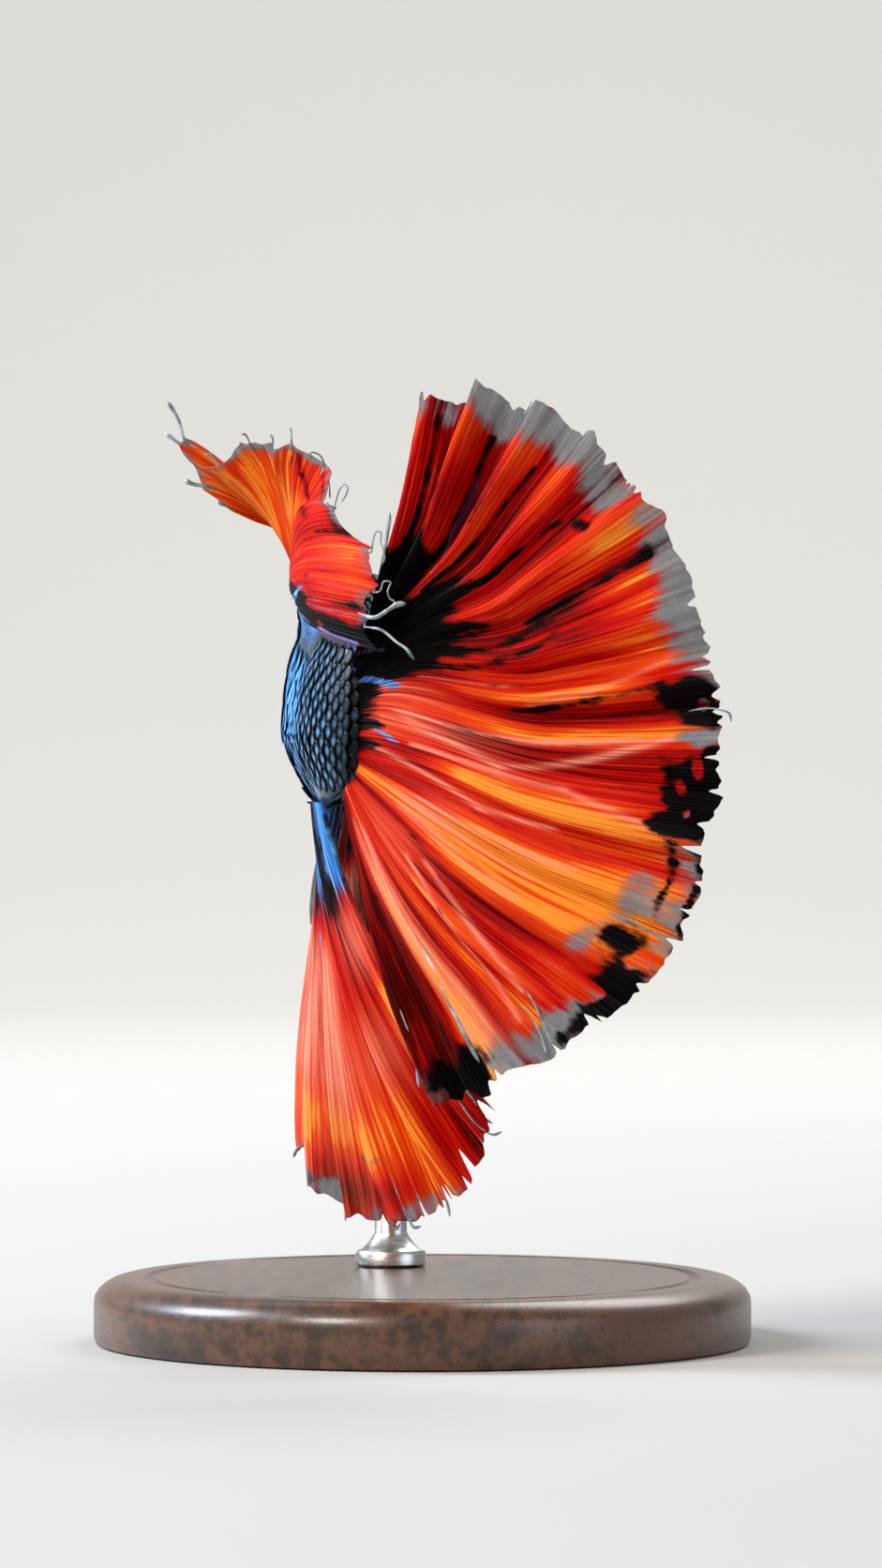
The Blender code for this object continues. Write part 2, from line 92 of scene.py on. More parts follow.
def smooth(x, knots):
    # smooth curve through (position, value) knots
    at = np.array([k[0] for k in knots], float)
    value = np.array([k[1] for k in knots], float)
    if value.ndim == 1:
        value = value[:, None]
    slope = np.gradient(value, at, axis=0)
    x = np.clip(np.atleast_1d(np.asarray(x, float)), at[0], at[-1])
    i = np.clip(np.searchsorted(at, x, side="right") - 1, 0, len(at) - 2)
    step = (at[i + 1] - at[i])[..., None]
    s = (x - at[i])[..., None] / step
    result = ((1 + 2 * s) * (1 - s) ** 2 * value[i] + s * (1 - s) ** 2 * step * slope[i]
              + s * s * (3 - 2 * s) * value[i + 1] - s * s * (1 - s) * step * slope[i + 1])
    return result[..., 0] if result.shape[-1] == 1 else result


def ease(x, low, high):
    s = np.clip((np.asarray(x, float) - low) / (high - low), 0, 1)
    return s * s * (3 - 2 * s)


def unit(v):
    return v / np.maximum(np.linalg.norm(v, axis=-1, keepdims=True), 1e-9)


def wander(x, y, seed):
    # soft noise, 0 to 1, with one bump for each unit of x and y
    table = np.random.RandomState(seed).rand(97, 61)
    x, y = np.broadcast_arrays(np.asarray(x, float), np.asarray(y, float))
    i, j = np.floor(x).astype(int), np.floor(y).astype(int)
    a, b = x - i, y - j
    a, b = a * a * (3 - 2 * a), b * b * (3 - 2 * b)
    i, j, k, m = i % 97, j % 61, (i + 1) % 97, (j + 1) % 61
    return ((table[i, j] * (1 - a) + table[k, j] * a) * (1 - b)
            + (table[i, m] * (1 - a) + table[k, m] * a) * b)


def meshPiece(name, points, quads, triangles=(), maps=None, values=None):
    # maps hold one pair for each corner, or one for each point; values hold one number or triple a point
    quads = np.asarray(quads, np.int32).reshape(-1, 4)
    triangles = np.asarray(triangles, np.int32).reshape(-1, 3)
    corners = np.concatenate([quads.ravel(), triangles.ravel()])
    starts = np.concatenate([np.arange(len(quads)) * 4, len(quads) * 4 + np.arange(len(triangles)) * 3])
    mesh = bpy.data.meshes.new(name)
    mesh.vertices.add(len(points))
    mesh.vertices.foreach_set("co", (np.asarray(points, float) * mm).astype(np.float32).ravel())
    mesh.loops.add(len(corners))
    mesh.loops.foreach_set("vertex_index", corners)
    mesh.polygons.add(len(starts))
    mesh.polygons.foreach_set("loop_start", starts.astype(np.int32))
    mesh.update(calc_edges=True)
    for mapName, pairs in (maps or {}).items():
        pairs = np.asarray(pairs, np.float32)
        if len(pairs) == len(points):
            pairs = pairs[corners]
        layer = mesh.attributes.new(mapName, "FLOAT2", "CORNER")
        layer.data.foreach_set("vector", pairs.ravel())
    for valueName, data in (values or {}).items():
        data = np.asarray(data, np.float32)
        kind, field = ("FLOAT", "value") if data.ndim == 1 else ("FLOAT_VECTOR", "vector")
        mesh.attributes.new(valueName, kind, "POINT").data.foreach_set(field, data.ravel())
    mesh.shade_smooth()
    made = bpy.data.objects.new(name, mesh)
    bpy.context.scene.collection.objects.link(made)
    return made


def finishPiece(piece, material, nodes):
    # one material, one body and the solids that the piece stands for
    piece.data.materials.clear()
    piece.data.materials.append(material)
    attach(piece, "root")
    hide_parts(*nodes)
    return piece


def closedSheet(front, back):
    # points and quads of a thin closed body between two grids
    columns, rows = front.shape[:2]
    far = columns * rows
    points = np.concatenate([front.reshape(-1, 3), back.reshape(-1, 3)])
    a = (np.arange(columns - 1)[:, None] * rows + np.arange(rows - 1)[None, :]).ravel()
    faces = np.stack([a, a + rows, a + rows + 1, a + 1], axis=1)
    rim = np.concatenate([np.arange(columns) * rows, (columns - 1) * rows + np.arange(1, rows),
                          np.arange(columns - 2, -1, -1) * rows + rows - 1, np.arange(rows - 2, 0, -1)])
    after = np.roll(rim, -1)
    strip = np.stack([after, rim, far + rim, far + after], axis=1)
    return points, np.concatenate([faces, far + faces[:, ::-1], strip])


def sheetMap(columns, rows, quads):
    # the bake map: the front fills its left half, the back its right half
    u, v = np.meshgrid(np.linspace(0.01, 0.49, columns), np.linspace(0.01, 0.99, rows), indexing="ij")
    pair = np.stack([u.ravel(), v.ravel()], axis=1)
    far = columns * rows
    pairs = np.concatenate([pair, pair + (0.5, 0)])[quads]
    strips = (quads < far).any(axis=1) & (quads >= far).any(axis=1)
    pairs[strips] = pair[quads[strips] % far]
    return pairs.reshape(-1, 2)


def tubeMesh(paths):
    # round closed tubes; each path is (points, radii)
    sides = 8
    points, quads, triangles, pairs = [], [], [], []
    first = 0
    for number, (line, radii) in enumerate(paths):
        line, radii = np.asarray(line, float), np.asarray(radii, float)
        ahead = unit(np.gradient(line, axis=0))
        side = unit(np.cross(ahead, (0.31, 0.93, 0.21)))
        up = np.cross(side, ahead)
        angle = np.arange(sides) * 2 * math.pi / sides
        ring = (side[:, None] * np.cos(angle)[None, :, None] + up[:, None] * np.sin(angle)[None, :, None])
        body = line[:, None] + ring * radii[:, None, None]
        points.append(np.concatenate([body.reshape(-1, 3), line[:1], line[-1:]]))
        n = len(line)
        for r in range(n - 1):
            for k in range(sides):
                m = (k + 1) % sides
                quads.append([first + v for v in (r * sides + m, r * sides + k,
                                                  (r + 1) * sides + k, (r + 1) * sides + m)])
        for k in range(sides):
            m = (k + 1) % sides
            triangles.append((first + k, first + m, first + n * sides))
            last = first + (n - 1) * sides
            triangles.append((last + m, last + k, first + n * sides + 1))
        column = (number % 16 + 0.1) / 16, (number // 16 + 0.1) / 16
        u = np.tile(np.arange(sides) / sides, n) * 0.05 + column[0]
        v = np.repeat(np.linspace(0, 1, n), sides) * 0.05 + column[1]
        pairs.append(np.concatenate([np.stack([u, v], axis=1), [column, (column[0], column[1] + 0.05)]]))
        first += n * sides + 2
    return np.concatenate(points), quads, triangles, np.concatenate(pairs)


# ---- the body's line and outline

body = {
    "standardLength": 48.0,
    "tailRoot": (-4.4, -19.0, 37.6),
    "pitch": 7.0,
    "tailSwing": 32.0, "tailBend": 6.5,
    "headSwing": 18.0, "headBend": (10.0, 25.0),
    "stemBulge": 1.3,
    "sheathHeight": 1.1, "sheathLean": 1.65,
    "gap": 0.3,
    "coatDepth": 0.12,
    "keel": 0.45,           # how far the belly narrows to an edge over the vent fin
    "heel": 0.9,            # how far the stem's lower rear corner is rounded off
    "headStarts": 34.6,
    "back": [(0, 2.7), (0.03, 3.5), (0.09, 4.25), (0.18, 4.9), (0.3, 5.5), (0.45, 5.9), (0.62, 5.8),
             (0.8, 5.0), (0.92, 4.55), (1, 4.4)],
    "belly": [(0, 1.2), (0.03, -0.5), (0.09, -2.5), (0.18, -4.4), (0.3, -5.8), (0.45, -6.7), (0.62, -6.9),
              (0.8, -6.3), (0.92, -5.5), (1, -5.1)],
    "halfWidth": [(0, 0.9), (0.03, 1.8), (0.09, 2.75), (0.18, 3.5), (0.3, 3.75), (0.45, 3.55),
                  (0.62, 3.0), (0.8, 2.2), (0.92, 1.4), (1, 0.8)],
}


def turn(d):
    tail = math.radians(body["tailSwing"]) * np.clip(1 - np.maximum(d, 0) / body["tailBend"], 0, 1) ** 1.2
    return tail - math.radians(body["headSwing"]) * ease(d, *body["headBend"])


def spineLine():
    d = np.arange(-4.0, body["standardLength"] + 3.0, 0.1)
    heading, pitch = turn(d), math.radians(body["pitch"])
    step = np.stack([-np.sin(heading) * math.cos(pitch), np.cos(heading) * math.cos(pitch),
                     np.full_like(heading, math.sin(pitch))], axis=1) * 0.1
    line = np.cumsum(step, axis=0)
    start = np.array([np.interp(0.0, d, line[:, k]) for k in range(3)])
    return d, line - start + np.array(body["tailRoot"])


spineAt, spinePoints = spineLine()


def spine(d):
    d = np.atleast_1d(np.asarray(d, float))
    point = np.stack([np.interp(d, spineAt, spinePoints[:, k]) for k in range(3)], axis=-1)
    heading, pitch = turn(d), math.radians(body["pitch"])
    right = np.stack([np.cos(heading), np.sin(heading), np.zeros_like(d)], axis=-1)
    ahead = np.stack([-np.sin(heading) * math.cos(pitch), np.cos(heading) * math.cos(pitch),
                      np.full_like(d, math.sin(pitch))], axis=-1)
    return point, right, ahead, np.cross(right, ahead)


def place(d, side, height, forward=0.0):
    point, right, ahead, up = spine(d)
    shape = point.shape[:-1] + (1,)
    side, height, forward = (np.broadcast_to(np.asarray(v, float), shape[:-1])[..., None]
                             for v in (side, height, forward))
    return point + right * side + up * height + ahead * forward


def section(d, angle, shrink=0.0):
    # side and height of the body's surface, angle round from the back past the right side
    share = 1 - d / body["standardLength"]
    top, low, wide = (smooth(share, body[name]) for name in ("back", "belly", "halfWidth"))
    top, low, wide = top - shrink, low + shrink, np.maximum(wide - shrink, 0.15)
    middle = low + 0.37 * (top - low)
    sine, cosine = np.sin(angle), np.cos(angle)
    over, under = 1.1 + 0.4 * ease(share, 0.5, 0.8), 0.82 + 0.25 * ease(share, 0.6, 1.0)
    fullness = np.where(cosine > 0, over, under)
    side = wide * np.sign(sine) * np.abs(sine) ** fullness
    height = middle + np.where(cosine > 0, top - middle, middle - low) * cosine
    sheath = ease(d, 8.0, 11.0) * (1 - ease(d, 17.5, 21.5))
    crest = sheath * np.exp(-((np.minimum(angle, 2 * math.pi - angle) / 0.45) ** 2))
    return side - body["sheathLean"] * crest, height + body["sheathHeight"] * crest


# ---- fins as rays fanned out from a root

def finKey(fin, column):
    knots = [(row[0], row[column]) for row in fin["keys"]]
    return lambda share: smooth(share, knots)


def bareSheet(fin, share, v):
    # share runs across the fin, v along a ray; both are flat lists of the same length
    start = fin["root"](share)
    way = unit(fin["way"](share) if "way" in fin else finKey(fin, 2)(share))
    end = fin["tip"](share) if "tip" in fin else finKey(fin, 3)(share) + np.array(body["tailRoot"])
    reach = np.linalg.norm(end - start, axis=1, keepdims=True)
    elbow = start + way * reach * fin.get("elbowAt", 0.45)
    v = v[:, None]
    return (1 - v) ** 2 * start + 2 * v * (1 - v) * elbow + v * v * end


def sheetAt(fin, share, v):
    # the fin's middle surface with its pleats, and the way it faces
    step = 0.002
    low, high = np.maximum(share - step, 0), np.minimum(share + step, 1)
    across = bareSheet(fin, high, v) - bareSheet(fin, low, v)
    along = bareSheet(fin, share, v + step) - bareSheet(fin, share, v - step)
    facing = unit(np.cross(across, along))
    return bareSheet(fin, share, v) + facing * fin["folds"](share, v)[:, None], facing


def phaseOf(share, crests):
    return np.interp(share, crests, np.arange(len(crests)))


def foldWave(share, crests):
    return np.cos(2 * math.pi * phaseOf(share, crests))


def patches(share, v, rows):
    # soft patches: (share, v, half width across, half width along, strength)
    total = np.zeros_like(share)
    for atShare, atV, wide, long, strength in rows:
        total += strength * np.exp(-(((share - atShare) / wide) ** 2 + ((v - atV) / long) ** 2))
    return total


def strokes(share, v, rows):
    # narrow lines from one (share, v) to another: (share, v, share, v, half width, strength)
    total = np.zeros_like(share)
    stretch = 0.35  # the plan is read with v this much shorter, so that a line is as wide each way
    for s0, v0, s1, v1, wide, strength in rows:
        run = np.array([s1 - s0, (v1 - v0) * stretch])
        t = np.clip(((share - s0) * run[0] + (v - v0) * stretch * run[1]) / (run @ run), 0, 1)
        off = np.hypot(share - s0 - t * run[0], (v - v0) * stretch - t * run[1])
        total += strength * np.exp(-(off / wide) ** 2)
    return total


def rayRidges(share, v, count):
    # 1 on a ray and 0 between; each ray forks in two a third of the way out
    single = np.cos(math.pi * count * share) ** 2
    forked = np.cos(2 * math.pi * count * share + 0.35 * math.pi) ** 2
    fork = ease(v, 0.3, 0.55)
    return single * (1 - fork) + forked * fork


def paintedRayLight(flow, v, rays, seed):
    # painted light and shade, uneven from ray to ray, about -1 to 1: pairs, single rays and bundles
    return 1.2 * (0.8 * wander(flow * rays, v * 1.3, seed) + 0.45 * wander(flow * rays * 2.3, v * 2.2, seed + 1)
                  + 1.3 * wander(flow * rays * 0.37, v * 0.9, seed + 2) - 1.275)


def tears(share, rows, seed, deepest, width):
    # narrow splits in the rim, as shares of a ray
    chance = np.random.RandomState(seed)
    depth = np.zeros_like(share)
    for _ in range(rows):
        at, deep, wide = chance.rand(), deepest * (0.25 + 0.75 * chance.rand() ** 2), width * (0.5 + chance.rand())
        depth = np.maximum(depth, deep * np.clip(1 - np.abs(share - at) / wide, 0, 1) ** 0.6)
    return depth


def finMesh(name, fin, material, nodes):
    columns, rows = fin["grid"]
    share = np.repeat(np.linspace(0, 1, columns), rows)
    step = np.linspace(0, 1, rows)
    step = 1 - (1 - step) ** 1.3  # closer together towards the rim
    rim = np.repeat(fin["rim"](np.linspace(0, 1, columns)), rows)
    v = fin.get("sunk", -0.02) + (rim - fin.get("sunk", -0.02)) * np.tile(step, columns)
    flow = share
    if "flow" in fin:  # the mesh runs along the rays, so each column is moved until it lies on its own ray
        first, last = fin["flow"](0 * share, v), fin["flow"](0 * share + 1, v)
        flow = first + (last - first) * share
        for _ in range(8):
            slope = (fin["flow"](share + 0.001, v) - fin["flow"](share - 0.001, v)) / 0.002
            share = np.clip(share - (fin["flow"](share, v) - flow) / slope, 0, 1)
    middle, facing = sheetAt(fin, share, v)
    out = np.clip(v / np.maximum(rim, 0.1), 0, 1)
    rays = rayRidges(flow, v, fin["rays"])
    thick = fin["thick"] * (1 - 0.55 * out) * (0.45 + 0.55 * rays)
    thick = thick * (1 - 0.6 * ease(out, 0.97, 1.0))
    lift = (facing * thick[:, None] / 2).reshape(columns, rows, 3)
    middle = middle.reshape(columns, rows, 3)
    points, quads = closedSheet(middle + lift, middle - lift)
    zones = fin["zones"](share, v, out)
    values = {zone: np.tile(amount, 2) for zone, amount in zones.items()}
    plan = np.stack([flow * fin["rimLength"], v * fin["rayLength"]], axis=1)
    made = meshPiece(name, points, quads, maps={"finPlan": np.tile(plan, (2, 1)),
                                                "OFBake": sheetMap(columns, rows, quads)}, values=values)
    return finishPiece(made, material, nodes)


# ---- fin materials

finLook = {
    "deepRed": "#4A0302", "red": "#C40A06", "orange": "#E04A0C", "gold": "#F0922E",
    # the pale salmon below is the colour of painted highlights on the fins
    "blushAndHighlight": "#F29278", "black": "#050203", "margin": "#8A888C", "smoke": "#55535A", "deepBlue": "#1C4688", "blue": "#3A80D2", "paleBlue": "#78C0F0",
    "streakWidth": 0.55, "streakLength": 9.0,   # colour runs in streaks along the rays
    "blotchSize": 1.6,                          # the black and clear patches break up at this size
    "rayPitch": 0.36,                           # fine rays at the rim
    "marginAlpha": 0.52,
    "glow": 0.26,                               # share of light that comes through the membrane
}


def finMaterial(name, look):
    # wet fin membrane: thin skin over bony rays. Light soaks through it, so it glows from behind,
    # its colour runs along the rays, and its margin is clear and smoky.
    made, tree = newMaterial(name)
    plan = addNode(tree, "ShaderNodeUVMap", {"uv_map": "finPlan"}).outputs["UV"]
    stretch = addNode(tree, "ShaderNodeMapping", {"vector_type": "POINT"}, {
        "Vector": plan, "Scale": (1 / look["streakWidth"], 1 / look["streakLength"], 1)}).outputs["Vector"]
    streak = addNode(tree, "ShaderNodeTexNoise", {"noise_dimensions": "2D"}, {
        "Vector": stretch, "Scale": 1.0, "Detail": 3.0, "Roughness": 0.6}).outputs["Fac"]
    blotch = addNode(tree, "ShaderNodeTexNoise", {"noise_dimensions": "2D"}, {
        "Vector": plan, "Scale": 1 / look["blotchSize"], "Detail": 4.0, "Roughness": 0.62}).outputs["Fac"]
    zone = {key: addNode(tree, "ShaderNodeAttribute", {"attribute_name": key}).outputs["Fac"]
            for key in ("warm", "dark", "blushAndHighlight", "clear", "blue")}

    # the flesh runs from deep red to gold by the streaks and the warm zone, which holds the fin's own colour and some
    # painted light and shade of the folds and rays
    warmth = addNode(tree, "ShaderNodeMath", {"operation": "MULTIPLY_ADD"},
                     {0: streak, 1: 1.0, 2: zone["warm"]}).outputs[0]
    warmth = addNode(tree, "ShaderNodeMath", {"operation": "SUBTRACT"}, {0: warmth, 1: 0.13}).outputs[0]
    flesh = setRamp(addNode(tree, "ShaderNodeValToRGB", None, {"Fac": warmth}), [
        (0.22, look["deepRed"]), (0.55, look["red"]), (0.88, look["orange"]), (1.0, look["gold"])])
    # painted highlight: pale salmon laid over the flesh along the streaks, as strong as the zone asks
    highlightStreak = addNode(tree, "ShaderNodeMapRange", None, {
        "Value": streak, "From Min": 0.35, "From Max": 0.62, "To Min": 0.3, "To Max": 1.2}).outputs["Result"]
    blushAndHighlight = addNode(tree, "ShaderNodeMath", {"operation": "MULTIPLY"}, {0: highlightStreak, 1: zone["blushAndHighlight"]}).outputs[0]
    blushAndHighlightMix = addNode(tree, "ShaderNodeMix", {"data_type": "RGBA"}, {
        0: blushAndHighlight, 6: flesh.outputs["Color"], 7: linear(look["blushAndHighlight"])}).outputs[2]
    sheen = addNode(tree, "ShaderNodeMath", {"operation": "MULTIPLY_ADD"}, {0: streak, 1: 0.9, 2: zone["blue"]}).outputs[0]
    sheen = addNode(tree, "ShaderNodeMapRange", {"interpolation_type": "SMOOTHSTEP"}, {
        "Value": sheen, "From Min": 0.62, "From Max": 1.05}).outputs["Result"]
    guanine = setRamp(addNode(tree, "ShaderNodeValToRGB", None, {"Fac": streak}), [
        (0.36, look["deepBlue"]), (0.5, look["blue"]), (0.66, look["paleBlue"])]).outputs["Color"]
    shone = addNode(tree, "ShaderNodeMix", {"data_type": "RGBA"}, {
        0: sheen, 6: blushAndHighlightMix, 7: guanine}).outputs[2]
    frayed = addNode(tree, "ShaderNodeMix", {"data_type": "FLOAT"}, {0: 0.65, 2: blotch, 3: streak}).outputs[0]
    edgeNoise = addNode(tree, "ShaderNodeMath", {"operation": "MULTIPLY_ADD"},
                        {0: frayed, 1: 2.2, 2: zone["clear"]}).outputs[0]
    clear = addNode(tree, "ShaderNodeMapRange", {"interpolation_type": "SMOOTHSTEP"}, {
        "Value": edgeNoise, "From Min": 1.22, "From Max": 1.88}).outputs["Result"]
    smoke = setRamp(addNode(tree, "ShaderNodeValToRGB", None, {"Fac": frayed}), [
        (0.38, look["smoke"]), (0.64, look["margin"])]).outputs["Color"]
    edged = addNode(tree, "ShaderNodeMix", {"data_type": "RGBA"}, {0: clear, 6: shone, 7: smoke}).outputs[2]
    # the dark zone paints black: pigment blots, and painted shade in fold valleys and at the fin roots
    mixedNoise = addNode(tree, "ShaderNodeMix", {"data_type": "FLOAT"}, {0: 0.45, 2: blotch, 3: streak}).outputs[0]
    darkNoise = addNode(tree, "ShaderNodeMath", {"operation": "MULTIPLY_ADD"},
                        {0: mixedNoise, 1: 1.6, 2: zone["dark"]}).outputs[0]
    dark = addNode(tree, "ShaderNodeMapRange", {"interpolation_type": "SMOOTHSTEP"}, {
        "Value": darkNoise, "From Min": 1.1, "From Max": 1.48}).outputs["Result"]
    painted = addNode(tree, "ShaderNodeMix", {"data_type": "RGBA"}, {
        0: dark, 6: edged, 7: linear(look["black"])}).outputs[2]

    # only the clean margin lets the ground show through
    opaque = addNode(tree, "ShaderNodeMath", {"operation": "SUBTRACT"}, {0: clear, 1: dark}).outputs[0]
    alpha = addNode(tree, "ShaderNodeMapRange", None, {
        "Value": opaque, "To Min": 1.0, "To Max": look["marginAlpha"]}).outputs["Result"]

    # fine rays, too thin for the mesh
    across = addNode(tree, "ShaderNodeSeparateXYZ", None, {0: plan}).outputs["X"]
    ray = addNode(tree, "ShaderNodeMath", {"operation": "MULTIPLY"},
                  {0: across, 1: 2 * math.pi / look["rayPitch"]}).outputs[0]
    ray = addNode(tree, "ShaderNodeMath", {"operation": "SINE"}, {0: ray}).outputs[0]
    relief = addNode(tree, "ShaderNodeMath", {"operation": "MULTIPLY_ADD"},
                     {0: streak, 1: 2.5, 2: ray}).outputs[0]
    bump = addNode(tree, "ShaderNodeBump", None, {
        "Height": relief, "Strength": 0.35, "Distance": 0.05 * mm}).outputs["Normal"]
    skin = addNode(tree, "ShaderNodeBsdfPrincipled", None, {
        "Base Color": painted, "Roughness": 0.55, "IOR": 1.38, "Specular IOR Level": 0.1, "Alpha": alpha,
        "Normal": bump}).outputs["BSDF"]
    through = addNode(tree, "ShaderNodeBsdfTranslucent", None, {"Color": painted, "Normal": bump}).outputs["BSDF"]
    both = addNode(tree, "ShaderNodeMixShader", None, {0: look["glow"], 1: skin, 2: through}).outputs[0]
    addNode(tree, "ShaderNodeOutputMaterial", None, {"Surface": both})
    return made


membrane = finMaterial("wetFinMembrane", finLook)

# ---- tail fin

tailFin = {
    "keys": [
        (0.00, 0.92, (0.36, -0.36, 0.84), (4.0, 1.5, 19.2)),
        (0.14, 0.72, (0.52, -0.55, 0.62), (9.6, -1.5, 19.4)),
        (0.30, 0.45, (0.60, -0.68, 0.36), (16.6, -6.0, 14.6)),
        (0.48, 0.12, (0.66, -0.74, 0.08), (22.0, -10.5, 3.2)),
        (0.64, -0.22, (0.64, -0.72, -0.20), (21.8, -12.0, -6.0)),
        (0.80, -0.52, (0.52, -0.62, -0.52), (18.6, -11.5, -14.8)),
        (0.92, -0.76, (0.32, -0.48, -0.80), (11.2, -9.0, -20.2)),
        (1.00, -0.92, (0.14, -0.36, -0.92), (5.6, -7.0, -22.8)),
    ],
    "crests": [-0.045, 0.028, 0.105, 0.19, 0.255, 0.335, 0.42, 0.49, 0.56, 0.66, 0.735, 0.805, 0.875, 0.932, 1.01],
    "foldHeight": 1.1,
    "foldShare": [(0, 0.8), (0.3, 1.0), (0.38, 0.7), (0.5, 0.65), (0.62, 0.45), (0.7, 0.55), (0.85, 0.6), (1, 0.9)],
    # how warm each part of the fan is, from dark red at 0 to gold at 0.6: at the rim, half way and near the root
    "rimWarm": [
        (0, 0.15), (0.025, 0.32), (0.045, 0.05), (0.08, 0.14), (0.108, 0.4), (0.125, 0.2), (0.14, 0.08),
        (0.17, 0.15), (0.2, 0.4), (0.215, 0.05), (0.24, 0.45), (0.262, 0.3), (0.28, 0.05), (0.3, 0.2),
        (0.33, 0.4), (0.35, 0.45), (0.366, 0.0), (0.38, 0.55), (0.392, 0.25), (0.405, 0.55), (0.42, 0.25),
        (0.44, 0.58), (0.462, 0.5), (0.48, 0.05), (0.5, 0.0), (0.52, 0.1), (0.545, 0.45), (0.56, 0.12),
        (0.6, 0.08), (0.64, 0.15), (0.66, 0.6), (0.69, 0.58), (0.72, 0.5), (0.76, 0.6), (0.8, 0.55),
        (0.83, 0.25), (0.85, 0.5), (0.87, 0.25), (0.888, 0.5), (0.905, 0.5), (0.92, 0.1), (0.94, 0.6),
        (0.955, 0.4), (0.965, -0.05), (1, -0.05)],
    "midWarm": [
        (0, 0.12), (0.04, 0.12), (0.06, 0.13), (0.11, 0.15), (0.125, 0.08), (0.145, 0.12), (0.19, 0.12),
        (0.198, 0.3), (0.21, 0.05), (0.23, 0.02), (0.26, 0.05), (0.285, 0.05), (0.3, 0.16), (0.34, 0.16),
        (0.355, 0.2), (0.37, 0.0), (0.4, 0.05), (0.43, 0.12), (0.455, 0.3), (0.47, 0.25), (0.485, 0.4),
        (0.5, 0.35), (0.51, 0.02), (0.525, 0.08), (0.538, 0.42), (0.553, 0.45), (0.562, 0.08), (0.6, 0.07),
        (0.626, 0.12), (0.638, 0.45), (0.66, 0.6), (0.68, 0.4), (0.695, 0.55), (0.71, 0.3), (0.73, 0.6),
        (0.76, 0.55), (0.8, 0.6), (0.822, 0.4), (0.833, 0.05), (0.85, 0.3), (0.86, 0.1), (0.873, 0.5),
        (0.888, 0.1), (0.903, 0.5), (0.914, 0.1), (0.93, 0.58), (0.952, 0.45), (0.965, 0.0), (1, -0.08)],
    "rootWarm": [
        (0, -0.1), (0.3, -0.06), (0.42, -0.02), (0.47, 0.02), (0.49, 0.18), (0.53, 0.3), (0.575, 0.3),
        (0.61, 0.3), (0.628, 0.05), (0.665, 0.02), (0.68, 0.3), (0.7, 0.4), (0.715, 0.02), (0.74, 0.4),
        (0.8, 0.38), (0.818, 0.05), (0.838, 0.32), (0.86, 0.3), (0.9, 0.3), (0.95, 0.35), (0.975, 0.0),
        (1, -0.1)],
    # how far up each ray the painted shade at the root reaches
    "paintedRootShade": [(0, 0.44), (0.13, 0.45), (0.145, 0.36), (0.2, 0.36), (0.215, 0.46), (0.26, 0.48), (0.28, 0.42),
                 (0.33, 0.42), (0.37, 0.4), (0.42, 0.33), (0.46, 0.26), (0.49, 0.15), (0.53, 0.1), (0.6, 0.08),
                 (0.66, 0.05), (0.72, 0.0), (1, -0.1)],
    "grid": (640, 70), "rays": 74, "thick": 0.34,
    "rimLength": 90.0, "rayLength": 22.0,
}


def tailRootLine(share):
    low, high = smooth(1.0, body["belly"])[0], smooth(1.0, body["back"])[0]
    rise = finKey(tailFin, 1)(share)
    return place(-body["stemBulge"] * (1 - rise**2) - body["gap"], 0, (low + high) / 2 + (high - low) / 2 * rise)


def tailFlow(share, v):
    # rays leave the root bunched upwards and sweep down to their places at the rim
    sweep = 0.19 * np.exp(-(((share - 0.33) / 0.25) ** 2)) * (1 - ease(v, 0.0, 0.6))
    return share + sweep + 0.004 * np.sin(7 * v + 9 * share) * (1 - ease(v, 0.6, 1.0))


def tailFolds(share, v):
    flow = tailFlow(share, v)
    phase = phaseOf(flow, tailFin["crests"])
    height = tailFin["foldHeight"] * smooth(flow, tailFin["foldShare"])
    wave = np.cos(2 * math.pi * phase) * (0.62 + 0.6 * wander(phase + 0.5, v * 1.2, 4))
    fine = 2 * wander(flow * 46, v * 0.9, 6) - 1
    crinkle = wander(share * 95, v * 9, 5) - 0.5
    return (height * wave * ease(v, 0.12, 0.72) + 0.3 * fine * ease(v, 0.1, 0.6)
            + 0.6 * crinkle * ease(v, 0.78, 1.0))


def tailRim(share):
    lobes = wander(share * 17, 0.5, 9)
    tips = wander(share * 60, 0.5, 8)
    small = wander(share * 190, 0.5, 10)
    return (1.0 + 0.02 * ease(share, 0.03, 0.08) * (1 - ease(share, 0.4, 0.5)) - 0.02 * lobes - 0.024 * tips
            - 0.014 * small - tears(share, 34, 12, 0.045, 0.0035))


